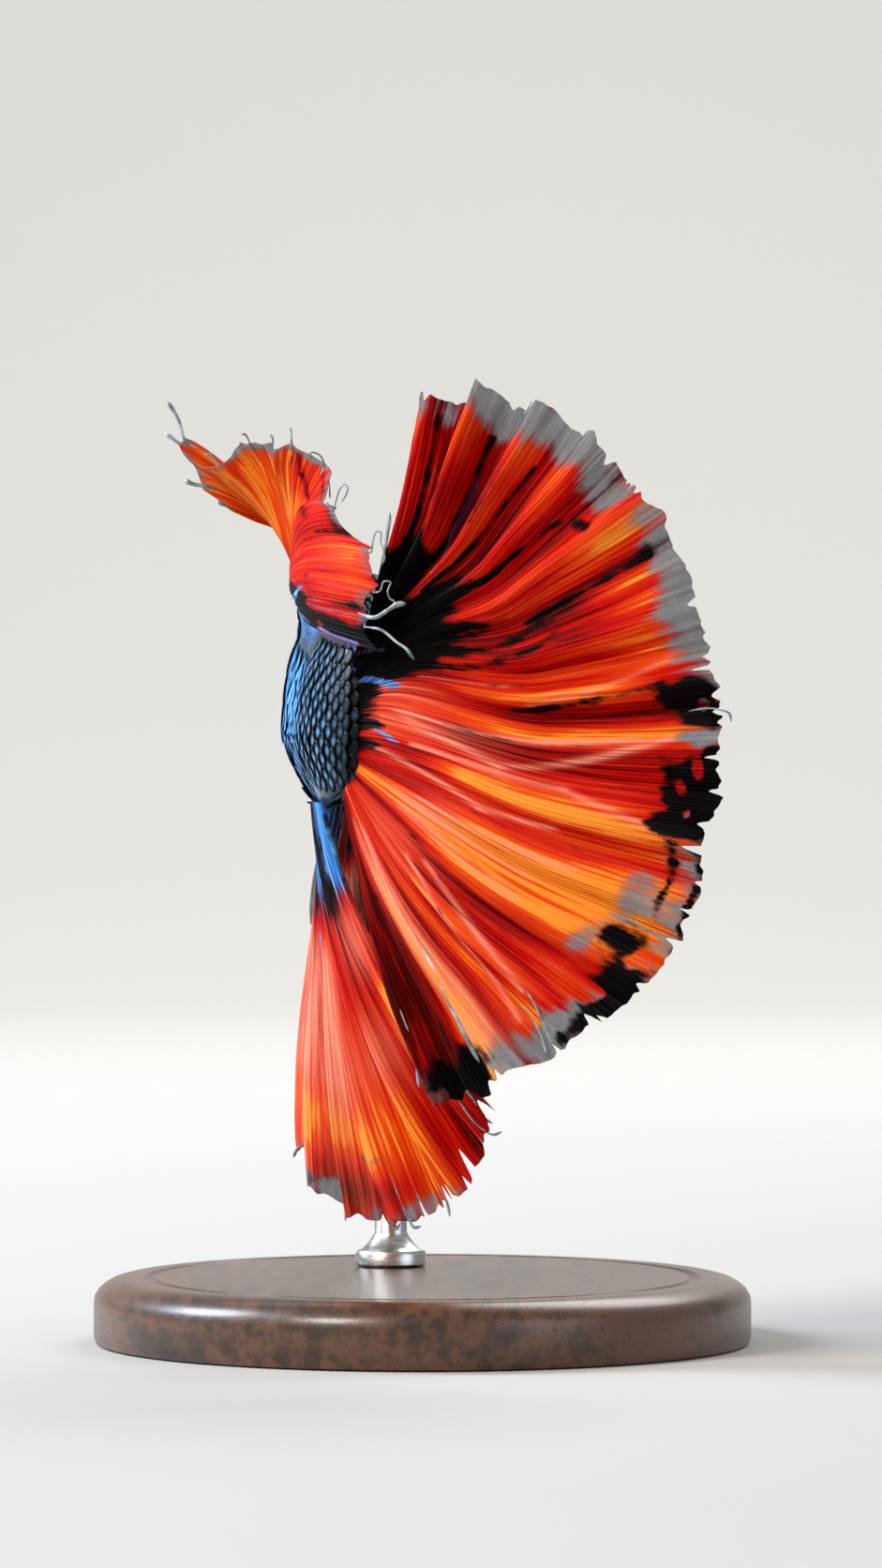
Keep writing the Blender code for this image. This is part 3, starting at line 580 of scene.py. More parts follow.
def tailZones(place, v, out):
    share = tailFlow(place, v)
    wave = foldWave(share, tailFin["crests"])
    tone = paintedRayLight(share, v, tailFin["rays"], 31)
    ragged = wander(share * 60, v * 2.5, 34) - 0.5
    rim, middle = ease(v + 0.12 * ragged, 0.7, 0.88), ease(v + 0.15 * ragged, 0.2, 0.45)
    # the fold wave adds painted light on the crests and painted shade in the valleys, and the ray tone painted light
    # and shade from ray to ray
    warm = (smooth(share, tailFin["rimWarm"]) * rim + (1 - rim) * (
        smooth(share, tailFin["midWarm"]) * middle + smooth(share, tailFin["rootWarm"]) * (1 - middle))
            + 0.05 * wave + 0.15 * tone * ease(share, 0.3, 0.45) + 0.06 * tone)
    # painted shade in the folds: their valleys as black lines, from (share, v) to (share, v), and a few broad patches
    dark = strokes(share, v, [
        (0.047, 0.4, 0.047, 0.92, 0.003, 0.62), (0.047, 0.4, 0.047, 0.6, 0.004, 0.3), (0.133, 0.4, 0.132, 0.88, 0.0035, 0.65),
        (0.133, 0.4, 0.133, 0.65, 0.005, 0.35), (0.2, 0.4, 0.213, 0.86, 0.0035, 0.65), (0.2, 0.4, 0.206, 0.6, 0.005, 0.3),
        (0.266, 0.4, 0.283, 0.8, 0.004, 0.65), (0.266, 0.4, 0.275, 0.6, 0.006, 0.3), (0.29, 0.83, 0.32, 0.84, 0.008, 0.6),
        (0.368, 0.93, 0.37, 0.6, 0.0035, 0.6), (0.375, 0.7, 0.41, 0.4, 0.014, 0.5), (0.41, 0.66, 0.445, 0.36, 0.009, 0.5), (0.35, 0.55, 0.37, 0.4, 0.012, 0.5),
        (0.465, 0.6, 0.48, 0.3, 0.008, 0.35), (0.49, 0.86, 0.512, 0.5, 0.005, 0.55), (0.5, 0.6, 0.53, 0.3, 0.01, 0.25),
        (0.56, 0.78, 0.572, 0.3, 0.003, 0.45), (0.58, 0.7, 0.6, 0.55, 0.003, 0.3), (0.715, 0.55, 0.712, 0.2, 0.004, 0.4),
        (0.828, 0.5, 0.82, 0.15, 0.004, 0.4), (0.965, 0.7, 0.98, 0.25, 0.008, 0.35), (0.62, 0.42, 0.64, 0.1, 0.003, 0.35),
        (0.86, 0.7, 0.845, 0.4, 0.002, 0.35), (0.89, 0.75, 0.87, 0.4, 0.002, 0.35), (0.647, 0.05, 0.655, 0.18, 0.01, 0.4)])
    dark = dark + patches(share, v, [
        (0.1, 0.66, 0.008, 0.08, 0.55), (0.185, 0.71, 0.011, 0.1, 0.5), (0.4, 0.5, 0.04, 0.13, 0.2),
        (0.25, 0.5, 0.02, 0.12, 0.2)])
    # painted shade: black over the fan's root, up to the reach each ray is given
    limit = smooth(place * 0 + share, tailFin["paintedRootShade"]) + 0.1 * ragged
    root = 0.95 * (1 - ease(v, limit - 0.06, limit + 0.07)) * ease(limit, 0.0, 0.1)
    blots = patches(share, v, [
        (0.503, 0.9, 0.02, 0.055, 1.1), (0.53, 0.94, 0.03, 0.035, 1.0), (0.6, 0.89, 0.05, 0.045, 1.2),
        (0.61, 0.955, 0.05, 0.035, 1.2), (0.57, 0.97, 0.035, 0.03, 1.0), (0.65, 0.9, 0.014, 0.06, 0.9),
        (0.605, 0.893, 0.01, 0.012, -1.4), (0.57, 0.89, 0.008, 0.016, -1.0), (0.553, 0.95, 0.013, 0.06, -1.4),
        (0.515, 0.935, 0.011, 0.016, -1.3), (0.585, 0.93, 0.014, 0.014, -1.5), (0.636, 0.918, 0.008, 0.012, -1.0),
        (0.72, 0.905, 0.05, 0.013, 0.75), (0.735, 0.965, 0.05, 0.014, 0.8), (0.785, 0.865, 0.016, 0.05, 1.1),
        (0.825, 0.92, 0.03, 0.055, 1.1), (0.86, 0.96, 0.04, 0.03, 0.9), (0.8, 0.92, 0.008, 0.016, -1.1),
        (0.845, 0.905, 0.006, 0.02, -0.9), (0.97, 0.93, 0.032, 0.12, 1.0), (0.365, 0.93, 0.008, 0.05, 0.6)])
    blots = blots * (0.6 + 0.8 * wander(place * 90, v * 16, 53))
    torn = 0.6 * (wander(share * 16, v * 3, 51) - 0.5) + 0.6 * (wander(share * 75, v * 8, 52) - 0.5)
    clear = (-0.42 + 1.05 * ease(out, 0.84, 0.99) + torn * ease(out, 0.65, 0.9) + patches(share, v, [
        (0.13, 0.94, 0.04, 0.05, 0.2), (0.29, 0.9, 0.022, 0.05, 0.5), (0.725, 0.84, 0.035, 0.045, 0.95),
        (0.22, 0.93, 0.08, 0.06, 0.25), (0.4, 0.95, 0.06, 0.04, 0.3),
        (0.76, 0.83, 0.02, 0.04, 0.5), (0.805, 0.8, 0.033, 0.045, 1.0), (0.885, 0.92, 0.03, 0.035, 0.5),
        (0.553, 0.93, 0.012, 0.06, 0.9), (0.4, 0.86, 0.06, 0.04, -0.2), (0.6, 0.9, 0.07, 0.06, -0.35),
        (0.72, 0.98, 0.06, 0.03, 0.3), (0.97, 0.9, 0.03, 0.12, -0.4)]))
    # painted highlights: pale salmon lines along the lit ridges, and lit patches nearer the root
    blushAndHighlight = strokes(share, v, [
        (0.552, 0.87, 0.617, 0.45, 0.004, 1.0), (0.617, 0.45, 0.59, 0.18, 0.006, 0.8), (0.553, 0.8, 0.578, 0.15, 0.004, 0.8),
        (0.662, 0.9, 0.627, 0.63, 0.004, 0.7), (0.627, 0.63, 0.632, 0.2, 0.004, 0.9), (0.685, 0.62, 0.701, 0.42, 0.004, 0.9),
        (0.701, 0.42, 0.662, 0.08, 0.005, 0.9), (0.452, 0.93, 0.49, 0.7, 0.003, 0.45), (0.49, 0.7, 0.502, 0.55, 0.003, 0.5),
        (0.73, 0.7, 0.741, 0.25, 0.005, 0.6), (0.768, 0.6, 0.762, 0.2, 0.005, 0.5), (0.797, 0.6, 0.79, 0.2, 0.006, 0.5),
        (0.907, 0.85, 0.86, 0.3, 0.003, 0.8), (0.88, 0.8, 0.845, 0.35, 0.003, 0.7), (0.93, 0.9, 0.93, 0.15, 0.009, 0.7),
        (0.945, 0.85, 0.957, 0.1, 0.006, 0.6), (0.48, 0.25, 0.47, 0.5, 0.003, 0.4)])
    blushAndHighlight = blushAndHighlight + patches(share, v, [
        (0.525, 0.12, 0.04, 0.13, 0.55), (0.59, 0.25, 0.02, 0.18, 0.45), (0.76, 0.27, 0.05, 0.12, 0.45),
        (0.86, 0.22, 0.03, 0.15, 0.5), (0.94, 0.3, 0.02, 0.25, 0.5)]) * np.clip(0.6 + tone, 0, 1.3)
    # the first three strokes are the blue sheen of the ray roots; the last two are painted highlights on fold edges
    blue = strokes(place, v, [
        (0.03, 0.02, 0.2, 0.16, 0.005, 0.45), (0.22, 0.02, 0.36, 0.16, 0.006, 0.95),
        (0.53, 0.07, 0.575, 0.14, 0.004, 0.8), (0.14, 0.45, 0.135, 0.75, 0.0025, 0.6),
        (0.172, 0.45, 0.17, 0.75, 0.002, 0.5)])
    # the dark zone: painted shade of fold lines, root and ray tone, plus black pigment blots
    dark = dark * ease(v, 0.1, 0.3) + root + blots - 0.14 * tone
    return {"warm": warm, "dark": dark * (1 - np.clip(1.4 * blue, 0, 1)), "blushAndHighlight": np.clip(blushAndHighlight, 0, 1),
            "clear": clear, "blue": np.clip(blue, 0, 0.95)}


tailFin.update({"root": tailRootLine, "folds": tailFolds, "rim": tailRim, "zones": tailZones,
                "flow": tailFlow})
finMesh("tail_membrane", tailFin, membrane, ["tail_fin"])
say("tail fin")

# ---- back fin

backFin = {
    "keys": [
        (0.00, 18.6, (-0.30, 0.10, 0.90), (-8.5, 17.0, 13.0)),
        (0.07, 18.0, (-0.40, 0.05, 0.87), (-10.1, 16.2, 14.4)),
        (0.14, 17.5, (-0.46, 0.02, 0.87), (-11.0, 15.2, 16.8)),
        (0.21, 16.9, (-0.44, 0.00, 0.90), (-10.3, 14.4, 17.2)),
        (0.29, 15.9, (-0.34, -0.10, 0.92), (-8.2, 12.6, 15.8)),
        (0.50, 14.2, (-0.05, -0.35, 0.93), (-2.9, 7.4, 16.9)),
        (0.64, 13.0, (-0.06, -0.66, 0.72), (-1.0, 2.2, 12.9)),
        (0.79, 11.7, (-0.10, -0.92, 0.42), (1.3, -4.2, 10.3)),
        (0.87, 11.0, (-0.10, -0.97, 0.12), (3.1, -6.6, 7.1)),
        (1.00, 9.8, (-0.06, -0.96, -0.18), (4.6, -8.8, 3.4)),
    ],
    # how far the skin between the rays reaches, as a share of each ray
    "reach": [(0.0, 0.82), (0.08, 0.9), (0.14, 0.93), (0.21, 1.0), (0.25, 1.0), (0.29, 1.02), (0.36, 1.07),
              (0.44, 1.02), (0.48, 1.0), (0.56, 1.0), (0.64, 0.97), (0.72, 0.95), (0.8, 0.98), (0.84, 0.96),
              (0.88, 0.94), (0.92, 0.87), (1.0, 0.82)],
    "elbowAt": 0.62,
    "grid": (420, 66), "rays": 44, "thick": 0.32, "sunk": -0.05,
    "rimLength": 47.0, "rayLength": 12.6,
}


def backRootLine(share):
    d = finKey(backFin, 1)(share)
    side, top = section(d, np.zeros_like(d))
    return place(d, side, top + body["gap"])


def backFolds(share, v):
    wave = np.sin(2 * math.pi * (4.6 * share + 0.1))
    fine = np.sin(2 * math.pi * 14 * share)
    return ((0.9 * wave + 0.12 * fine) * ease(v, 0.2, 0.9) * (1 - 0.8 * ease(share, 0.8, 1.0))
            + 0.3 * (wander(share * 50, v * 6, 15) - 0.5) * ease(v, 0.75, 1.0))


def backRim(share):
    tips = np.abs(np.sin(math.pi * 14 * share)) ** 0.7
    small = wander(share * 90, 0.5, 18)
    return smooth(share, backFin["reach"]) - 0.05 * tips - 0.02 * small


def backZones(share, v, out):
    tone = paintedRayLight(share, v, backFin["rays"], 61)
    front = 1 - ease(share, 0.48, 0.58)
    # the ray tone adds painted light and shade from ray to ray
    warm = 0.2 + 0.3 * front + 0.07 * tone + patches(share, v, [
        (0.31, 0.75, 0.04, 0.3, 0.1), (0.0, 0.3, 0.05, 0.25, -0.25), (0.4, 0.1, 0.4, 0.12, -0.22),
        (0.53, 0.45, 0.05, 0.12, 0.25), (0.66, 0.86, 0.035, 0.07, 0.25), (0.65, 0.55, 0.06, 0.08, 0.2),
        (0.75, 0.5, 0.04, 0.15, -0.12), (0.82, 0.8, 0.03, 0.13, 0.3), (0.86, 0.85, 0.02, 0.1, 0.2),
        (0.88, 0.68, 0.02, 0.08, 0.1)]) + strokes(share, v, [
            (0.515, 0.95, 0.53, 0.72, 0.004, -0.5), (0.53, 0.72, 0.555, 0.6, 0.006, -0.4),
            (0.555, 0.6, 0.62, 0.62, 0.01, -0.32), (0.62, 0.62, 0.66, 0.73, 0.008, -0.3),
            (0.66, 0.73, 0.71, 0.65, 0.01, -0.3), (0.66, 0.96, 0.75, 0.85, 0.012, -0.3), (0.57, 0.86, 0.62, 0.88, 0.01, -0.3)])
    # painted shade: black over the root, reaching far up the shaded lower lobe, black patches towards its rear edge and
    # in folds; the ray tone lightens it
    limit = 0.02 + 0.4 * ease(share, 0.8, 0.92)
    dark = 0.95 * (1 - ease(v, limit - 0.05, limit + 0.07)) - 0.1 * tone + patches(share, v, [
        (0.94, 0.5, 0.05, 0.4, 0.7), (0.985, 0.8, 0.03, 0.4, 0.7), (0.76, 0.72, 0.012, 0.15, 0.55),
        (0.755, 0.9, 0.012, 0.1, 0.6), (0.51, 0.84, 0.005, 0.13, 0.5), (0.13, 0.8, 0.01, 0.12, 0.25),
        (0.2, 0.82, 0.008, 0.14, 0.25), (0.91, 0.8, 0.012, 0.14, 0.5), (0.845, 0.5, 0.03, 0.06, 0.35),
        (0.79, 0.62, 0.02, 0.04, 0.3), (0.62, 0.97, 0.05, 0.02, 0.35), (0.92, 0.97, 0.06, 0.04, 0.4)])
    clear = -0.4 + 0.95 * ease(out, 0.88, 0.99) + 0.35 * (wander(share * 40, v * 5, 63) - 0.5) + patches(share, v, [
        (0.425, 0.86, 0.045, 0.22, 0.75), (0.165, 0.9, 0.05, 0.08, 0.3), (0.542, 0.85, 0.012, 0.14, 0.6),
        (0.02, 0.75, 0.03, 0.15, 0.35), (0.9, 0.95, 0.1, 0.06, -0.3), (0.7, 0.97, 0.12, 0.04, -0.35)])
    # a faint painted highlight in the middle of the fan
    blushAndHighlight = patches(share, v, [(0.43, 0.5, 0.05, 0.12, 0.25)]) * np.clip(0.5 + tone, 0, 1)
    blue = strokes(share, v, [
        (0.94, 0.0, 0.945, 0.15, 0.012, 0.9), (0.945, 0.15, 0.905, 0.33, 0.009, 0.9), (0.905, 0.33, 0.88, 0.46, 0.006, 0.6),
        (0.99, 0.0, 0.995, 0.7, 0.006, 0.5)]) + patches(share, v, [
            (0.7, 0.0, 0.2, 0.02, 0.6), (0.955, 0.06, 0.05, 0.13, 1.0), (0.98, 0.25, 0.02, 0.3, 0.45), (0.94, 0.4, 0.05, 0.5, 0.3)]) * np.clip(0.7 + tone, 0, 1)
    return {"warm": warm, "dark": dark * (1 - np.clip(1.1 * blue, 0, 1)), "blushAndHighlight": blushAndHighlight, "clear": clear,
            "blue": np.clip(blue, 0, 0.8)}


backFin.update({"root": backRootLine, "folds": backFolds, "rim": backRim, "zones": backZones})
finMesh("back_membrane", backFin, membrane, ["back_fin"])
say("back fin")

# ---- vent fin

ventFin = {
    "keys": [
        (0.00, 1.4, (0.2, -0.30, -0.93), (9.5, -1.6, -23.6)),
        (0.10, 3.6, (0.12, -0.32, -0.92), (8.2, -0.8, -27.0)),
        (0.24, 6.6, (0.06, -0.35, -0.90), (5.4, 0.6, -29.4)),
        (0.44, 11.0, (0.08, -0.40, -0.90), (1.8, 4.2, -30.6)),
        (0.64, 16.0, (-0.06, -0.42, -0.90), (-1.9, 8.0, -28.0)),
        (0.82, 21.0, (-0.20, -0.40, -0.90), (-1.3, 13.0, -23.0)),
        (1.00, 25.6, (-0.12, -0.30, -0.95), (2.2, 19.6, -15.4)),
    ],
    "rootSide": -0.45,
    "grid": (520, 76), "rays": 52, "thick": 0.32, "sunk": -0.03,
    "rimLength": 50.0, "rayLength": 23.3,
}


def ventRootLine(share):
    d = finKey(ventFin, 1)(share)
    return place(d, ventFin["rootSide"], smooth(1 - d / body["standardLength"], body["belly"]) - body["gap"])


def ventWave(share):
    return np.sin(2 * math.pi * (7.0 * share + 0.18 * np.sin(2 * math.pi * 1.7 * share)))


def ventFolds(share, v):
    fine = np.sin(2 * math.pi * 23 * share)
    return ((1.05 * ventWave(share) + 0.16 * fine) * ease(v, 0.2, 0.9)
            + 0.45 * (wander(share * 60, v * 8, 25) - 0.5) * ease(v, 0.8, 1.0))


def ventRim(share):
    tips = wander(share * 13, 0.5, 27)
    small = wander(share * 85, 0.5, 28)
    return 1 - 0.045 * tips - 0.028 * small - tears(share, 20, 22, 0.07, 0.004)


def ventZones(share, v, out):
    wave = ventWave(share)
    tone = paintedRayLight(share, v, ventFin["rays"], 71)
    under = 1 - ease(v + 0.03 * tone, 0.22, 0.34)
    # the fold wave adds painted light on crests and painted shade in valleys, and the ray tone painted light and shade
    # from ray to ray
    warm = 0.17 - 0.3 * under + 0.08 * wave * ease(v, 0.3, 0.6) + 0.13 * tone + patches(share, v, [
        (0.2, 0.84, 0.08, 0.22, 0.5), (0.06, 0.6, 0.06, 0.09, 0.4), (0.06, 0.9, 0.06, 0.12, -0.2),
        (0.37, 0.82, 0.07, 0.07, 0.45), (0.36, 0.9, 0.08, 0.03, -0.35), (0.52, 0.9, 0.07, 0.05, -0.4),
        (0.5, 0.77, 0.2, 0.07, 0.38), (0.6, 0.85, 0.025, 0.1, 0.4), (0.665, 0.94, 0.03, 0.07, -0.4),
        (0.665, 0.83, 0.03, 0.03, 0.4), (0.8, 0.88, 0.07, 0.2, 0.55), (0.88, 0.6, 0.05, 0.3, 0.2),
        (0.4, 0.42, 0.04, 0.13, -0.12), (0.6, 0.4, 0.04, 0.06, -0.15),
        (0.75, 0.42, 0.03, 0.1, -0.15), (0.97, 0.5, 0.03, 0.4, -0.25)])
    dark = -0.22 - 0.12 * tone + patches(share, v, [
        (0.04, 0.99, 0.08, 0.04, 0.6), (0.36, 0.985, 0.09, 0.02, 0.6), (0.47, 0.83, 0.02, 0.03, 0.6),
        (0.52, 0.985, 0.08, 0.02, 0.6), (0.7, 0.98, 0.04, 0.05, 0.6), (0.3, 0.4, 0.006, 0.12, 0.4),
        (0.12, 0.5, 0.008, 0.15, 0.4), (0.56, 0.42, 0.008, 0.1, 0.35), (0.7, 0.4, 0.008, 0.08, 0.35),
        (0.93, 0.3, 0.02, 0.25, 0.5)]) + 0.85 * under * (1 - 0.5 * ease(share, 0.8, 0.95)) + strokes(share, v, [
            (0.0, 0.78, 0.1, 0.74, 0.006, 0.7)])
    clear = -0.55 + 0.85 * ease(out, 0.93, 1.0) + 0.35 * (wander(share * 50, v * 7, 73) - 0.5) + strokes(share, v, [
        (0.3, 0.835, 0.45, 0.83, 0.005, 0.9), (0.26, 0.93, 0.3, 0.95, 0.012, 0.6), (0.0, 0.45, 0.05, 0.42, 0.02, 0.5),
        (0.56, 0.93, 0.63, 0.94, 0.01, 0.8), (0.69, 0.8, 0.71, 0.74, 0.006, 0.7)]) + patches(share, v, [
            (0.12, 0.3, 0.2, 0.07, 0.5)])
    # painted highlight: the lit salmon side of the fan, stronger on lit rays and fold crests, plus a few lit patches
    blushAndHighlight = (ease(v, 0.3, 0.42) * (1 - 0.75 * ease(v, 0.62, 0.8)) * ease(share, 0.26, 0.42)
             * np.clip(0.8 + 0.7 * tone + 0.2 * wave, 0, 1.1)
             + patches(share, v, [(0.85, 0.75, 0.08, 0.3, 0.55), (0.06, 0.38, 0.06, 0.08, 0.6), (0.18, 0.63, 0.07, 0.08, 0.6)]))
    veil = 1 - ease(v, 0.14, 0.3 + 0.03 * np.sin(9 * share) + 0.05 * tone)
    blue = veil * np.clip(0.6 + 0.4 * tone, 0.35, 1) * (1 - ease(share, 0.72, 0.95)) + strokes(share, v, [
        (0.7, 0.1, 0.8, 0.2, 0.02, 0.6), (0.8, 0.2, 0.9, 0.36, 0.012, 0.9), (0.9, 0.36, 0.945, 0.62, 0.008, 1.0),
        (0.945, 0.62, 0.96, 0.85, 0.005, 0.6), (0.76, 0.2, 0.84, 0.42, 0.004, 0.5), (0.5, 0.15, 0.56, 0.36, 0.003, 0.5)])
    dark = dark * (1 - np.clip((1.0 + 1.2 * tone) * blue, 0, 1))
    return {"warm": warm, "dark": dark, "blushAndHighlight": np.clip(blushAndHighlight, 0, 1), "clear": clear,
            "blue": np.clip(blue, 0, 0.95)}


ventFin.update({"root": ventRootLine, "folds": ventFolds, "rim": ventRim, "zones": ventZones})
finMesh("vent_membrane", ventFin, membrane, ["vent_fin"])
say("vent fin")

# ---- filaments: bare ray ends that stand out past the membrane, club-shaped at their tips

filaments = {
    # (share across the fin, where it leaves the skin along the ray, radius, bends): the bends are steps
    # right, forward and up from that place
    "back": [
        (0.13, 0.86, 0.13, [(-0.8, 0, 0.55), (-1.55, 0, 1.1)]), (0.2, 0.93, 0.12, [(-0.5, 0, 1.4), (-1.15, 0, 2.5)]),
        (0.08, 0.84, 0.15, [(-0.7, 0, 0.1), (-1.3, 0, 0.35)]), (0.0, 0.78, 0.12, [(-0.75, 0, 0.4), (-1.5, 0, 0.75)]),
        (0.3, 0.98, 0.07, [(-0.27, 0, 0.45), (-0.5, 0, 0.7), (-0.75, 0, 0.62)]),
        (0.37, 0.99, 0.07, [(-0.22, 0, 0.5), (-0.42, 0, 0.75), (-0.62, 0, 0.66)]),
        (0.43, 0.98, 0.07, [(0.02, 0, 0.5), (-0.16, 0, 0.78)]), (0.5, 0.98, 0.09, [(-0.03, 0, 0.6), (-0.1, 0, 1.0)]),
        (0.535, 0.98, 0.075, [(0.36, 0, -0.1), (0.66, 0, -0.5), (0.7, 0, -1.05), (0.52, 0, -1.3)]),
        (0.56, 0.9, 0.045, [(0.25, 0, -0.8), (0.3, 0, -1.7)]),
        (0.72, 0.91, 0.06, [(0.18, -0.2, 0.6), (0.45, -0.4, 1.3), (0.68, -0.5, 1.5), (0.84, -0.5, 1.3),
                            (0.74, -0.5, 0.9), (0.5, -0.4, 0.45)]),
        (0.7, 0.95, 0.045, [(-0.3, 0, 0.1), (-0.55, 0, 0.3)]),
        (0.8, 0.95, 0.065, [(0.09, -0.2, 0.65), (0.32, -0.4, 1.15), (0.52, -0.5, 1.1), (0.54, -0.5, 0.55),
                            (0.68, -0.6, 0.05), (0.74, -0.6, -0.5), (0.6, -0.6, -0.8)]),
        (0.865, 0.95, 0.055, [(0.22, -0.2, 0.5), (0.58, -0.3, 0.47), (0.42, -0.4, -0.08), (0.55, -0.5, -0.5),
                              (0.85, -0.6, -0.72), (0.56, -0.6, -0.95)]),
        (0.92, 0.88, 0.15, [(0.6, -0.5, 0.36), (1.2, -0.9, 0.7), (1.65, -1.2, 0.75)]),
        (0.95, 0.88, 0.1, [(0.7, -0.5, -0.6), (1.35, -0.9, -1.08), (1.75, -1.1, -1.65)])],
    "tail": [
        (0.004, 0.33, 0.11, [(0.4, -0.3, 2.0), (0.65, -0.5, 3.9)]), (0.015, 0.95, 0.09, [(0.05, 0, 0.5), (0.1, 0, 0.9)]),
        (0.932, 0.6, 0.15, [(1.6, -0.9, -3.4), (2.9, -1.6, -5.9)]), (0.894, 0.86, 0.09, [(0.6, -0.2, -1.2), (0.9, -0.4, -2.2)]),
        (0.52, 0.97, 0.07, [(0.5, 0, -0.2), (0.6, 0, -0.7)]), (0.875, 0.8, 0.09, [(1.0, -0.4, -1.8), (1.6, -0.6, -3.2)]),
        (0.995, 0.75, 0.09, [(0.5, -0.3, -1.8), (0.7, -0.5, -3.4)])],
    "vent": [
        (0.01, 0.9, 0.08, [(0.5, 0, -0.9), (1.1, 0, -1.3)]), (0.03, 0.95, 0.07, [(0.6, 0, -0.3), (1.1, 0, -0.1)]),
        (0.2, 0.96, 0.08, [(0.2, -0.1, -0.6), (0.3, -0.1, -1.2)]), (0.3, 0.97, 0.09, [(0.3, -0.1, -0.4), (0.7, -0.2, -0.3)]),
        (0.395, 0.95, 0.07, [(0.0, -0.2, -0.5), (0.25, -0.3, -0.75), (0.5, -0.3, -0.4)]),
        (0.43, 0.94, 0.07, [(-0.1, -0.2, -0.6), (0.15, -0.3, -0.9), (0.42, -0.3, -0.6), (0.45, -0.3, -0.2)]),
        (0.5, 0.95, 0.06, [(-0.1, -0.1, -0.5), (-0.05, -0.2, -0.8)]),
        (0.53, 0.94, 0.07, [(-0.1, -0.2, -0.6), (0.15, -0.3, -0.85), (0.4, -0.3, -0.5)]),
        (0.64, 0.93, 0.1, [(-0.4, 0, -0.5), (-0.3, 0, -1.1)]), (0.7, 0.94, 0.09, [(-0.5, 0, -0.3), (-0.7, 0, -0.8)])],
}


def filamentPath(fin, share, v, radius, bends):
    inside, leaves = sheetAt(fin, np.array([share, share]), np.array([v - 0.1, v]))[0]
    stops = np.array([inside, leaves] + [leaves + np.array(step) for step in bends])
    run = np.concatenate([[0], np.cumsum(np.linalg.norm(np.diff(stops, axis=0), axis=1))])
    t = np.linspace(0, 1, 14 + 5 * len(bends))
    line = smooth(t * run[-1], [(at, tuple(stop)) for at, stop in zip(run, stops)])
    club = 0.85 + 0.35 * np.exp(-((t - 0.9) / 0.1) ** 2)
    rounded = np.sqrt(np.clip(1 - (np.maximum(t - 0.92, 0) / 0.08) ** 2, 0.03, 1))
    return line, radius * (0.35 + 0.65 * ease(t, 0, 0.3)) * club * rounded


def filamentMaterial():
    # bare fin ray: pale grey horny tissue with a wet skin
    made, tree = newMaterial("paleHornRay")
    where = addNode(tree, "ShaderNodeTexCoord").outputs["Object"]
    mottle = addNode(tree, "ShaderNodeTexNoise", None, {
        "Vector": where, "Scale": 1 / (0.8 * mm), "Detail": 3.0}).outputs["Fac"]
    tone = setRamp(addNode(tree, "ShaderNodeValToRGB", None, {"Fac": mottle}), [
        (0.3, "#3F4B4E"), (0.5, "#6E7E82"), (0.72, "#A4B2B4")]).outputs["Color"]
    bump = addNode(tree, "ShaderNodeBump", None, {
        "Height": mottle, "Strength": 0.3, "Distance": 0.04 * mm}).outputs["Normal"]
    shader = addNode(tree, "ShaderNodeBsdfPrincipled", None, {
        "Base Color": tone, "Roughness": 0.35, "IOR": 1.45, "Normal": bump, "Coat Weight": 0.3,
        "Coat Roughness": 0.15}).outputs["BSDF"]
    addNode(tree, "ShaderNodeOutputMaterial", None, {"Surface": shader})
    return made


paleRay = filamentMaterial()
for finName, fin, node in (("back", backFin, "back_fin"), ("tail", tailFin, "tail_fin"), ("vent", ventFin, "vent_fin")):
    tubes = tubeMesh([filamentPath(fin, *row) for row in filaments[finName]])
    made = meshPiece(finName + "_filaments", tubes[0], tubes[1], tubes[2], maps={"OFBake": tubes[3]})
    finishPiece(made, paleRay, [node])
say("filaments")

# ---- paired fins

pairedLook = dict(finLook, **{
    "deepRed": "#3A0E10", "red": "#A81A10", "orange": "#E0562A", "gold": "#F0A070", "margin": "#9AA0A2",
    "smoke": "#5C6062",
    "streakWidth": 0.4, "streakLength": 4.0, "blotchSize": 1.2, "rayPitch": 0.3, "marginAlpha": 0.5, "glow": 0.3})
pairedMembrane = finMaterial("clearPairedMembrane", pairedLook)
paired = {"pectoralAt": 33.2, "pelvicAt": 34.0, "rays": 13}


def pairedFin(name, node, hand, at, root, way, tip, fin, zones):
    def placed(pick):
        def line(share):
            side, along, height = pick(share).T
            return place(along, hand * side, height)
        return line

    def ways(share):
        _, right, ahead, up = spine(np.full(len(share), at))
        side, along, height = np.split(smooth(share, way), 3, axis=1)
        return right * hand * side + ahead * along + up * height

    fin = dict(fin, root=placed(root), way=ways, tip=placed(lambda s: smooth(s, tip)), zones=zones)
    return finMesh(name, fin, pairedMembrane, [node])


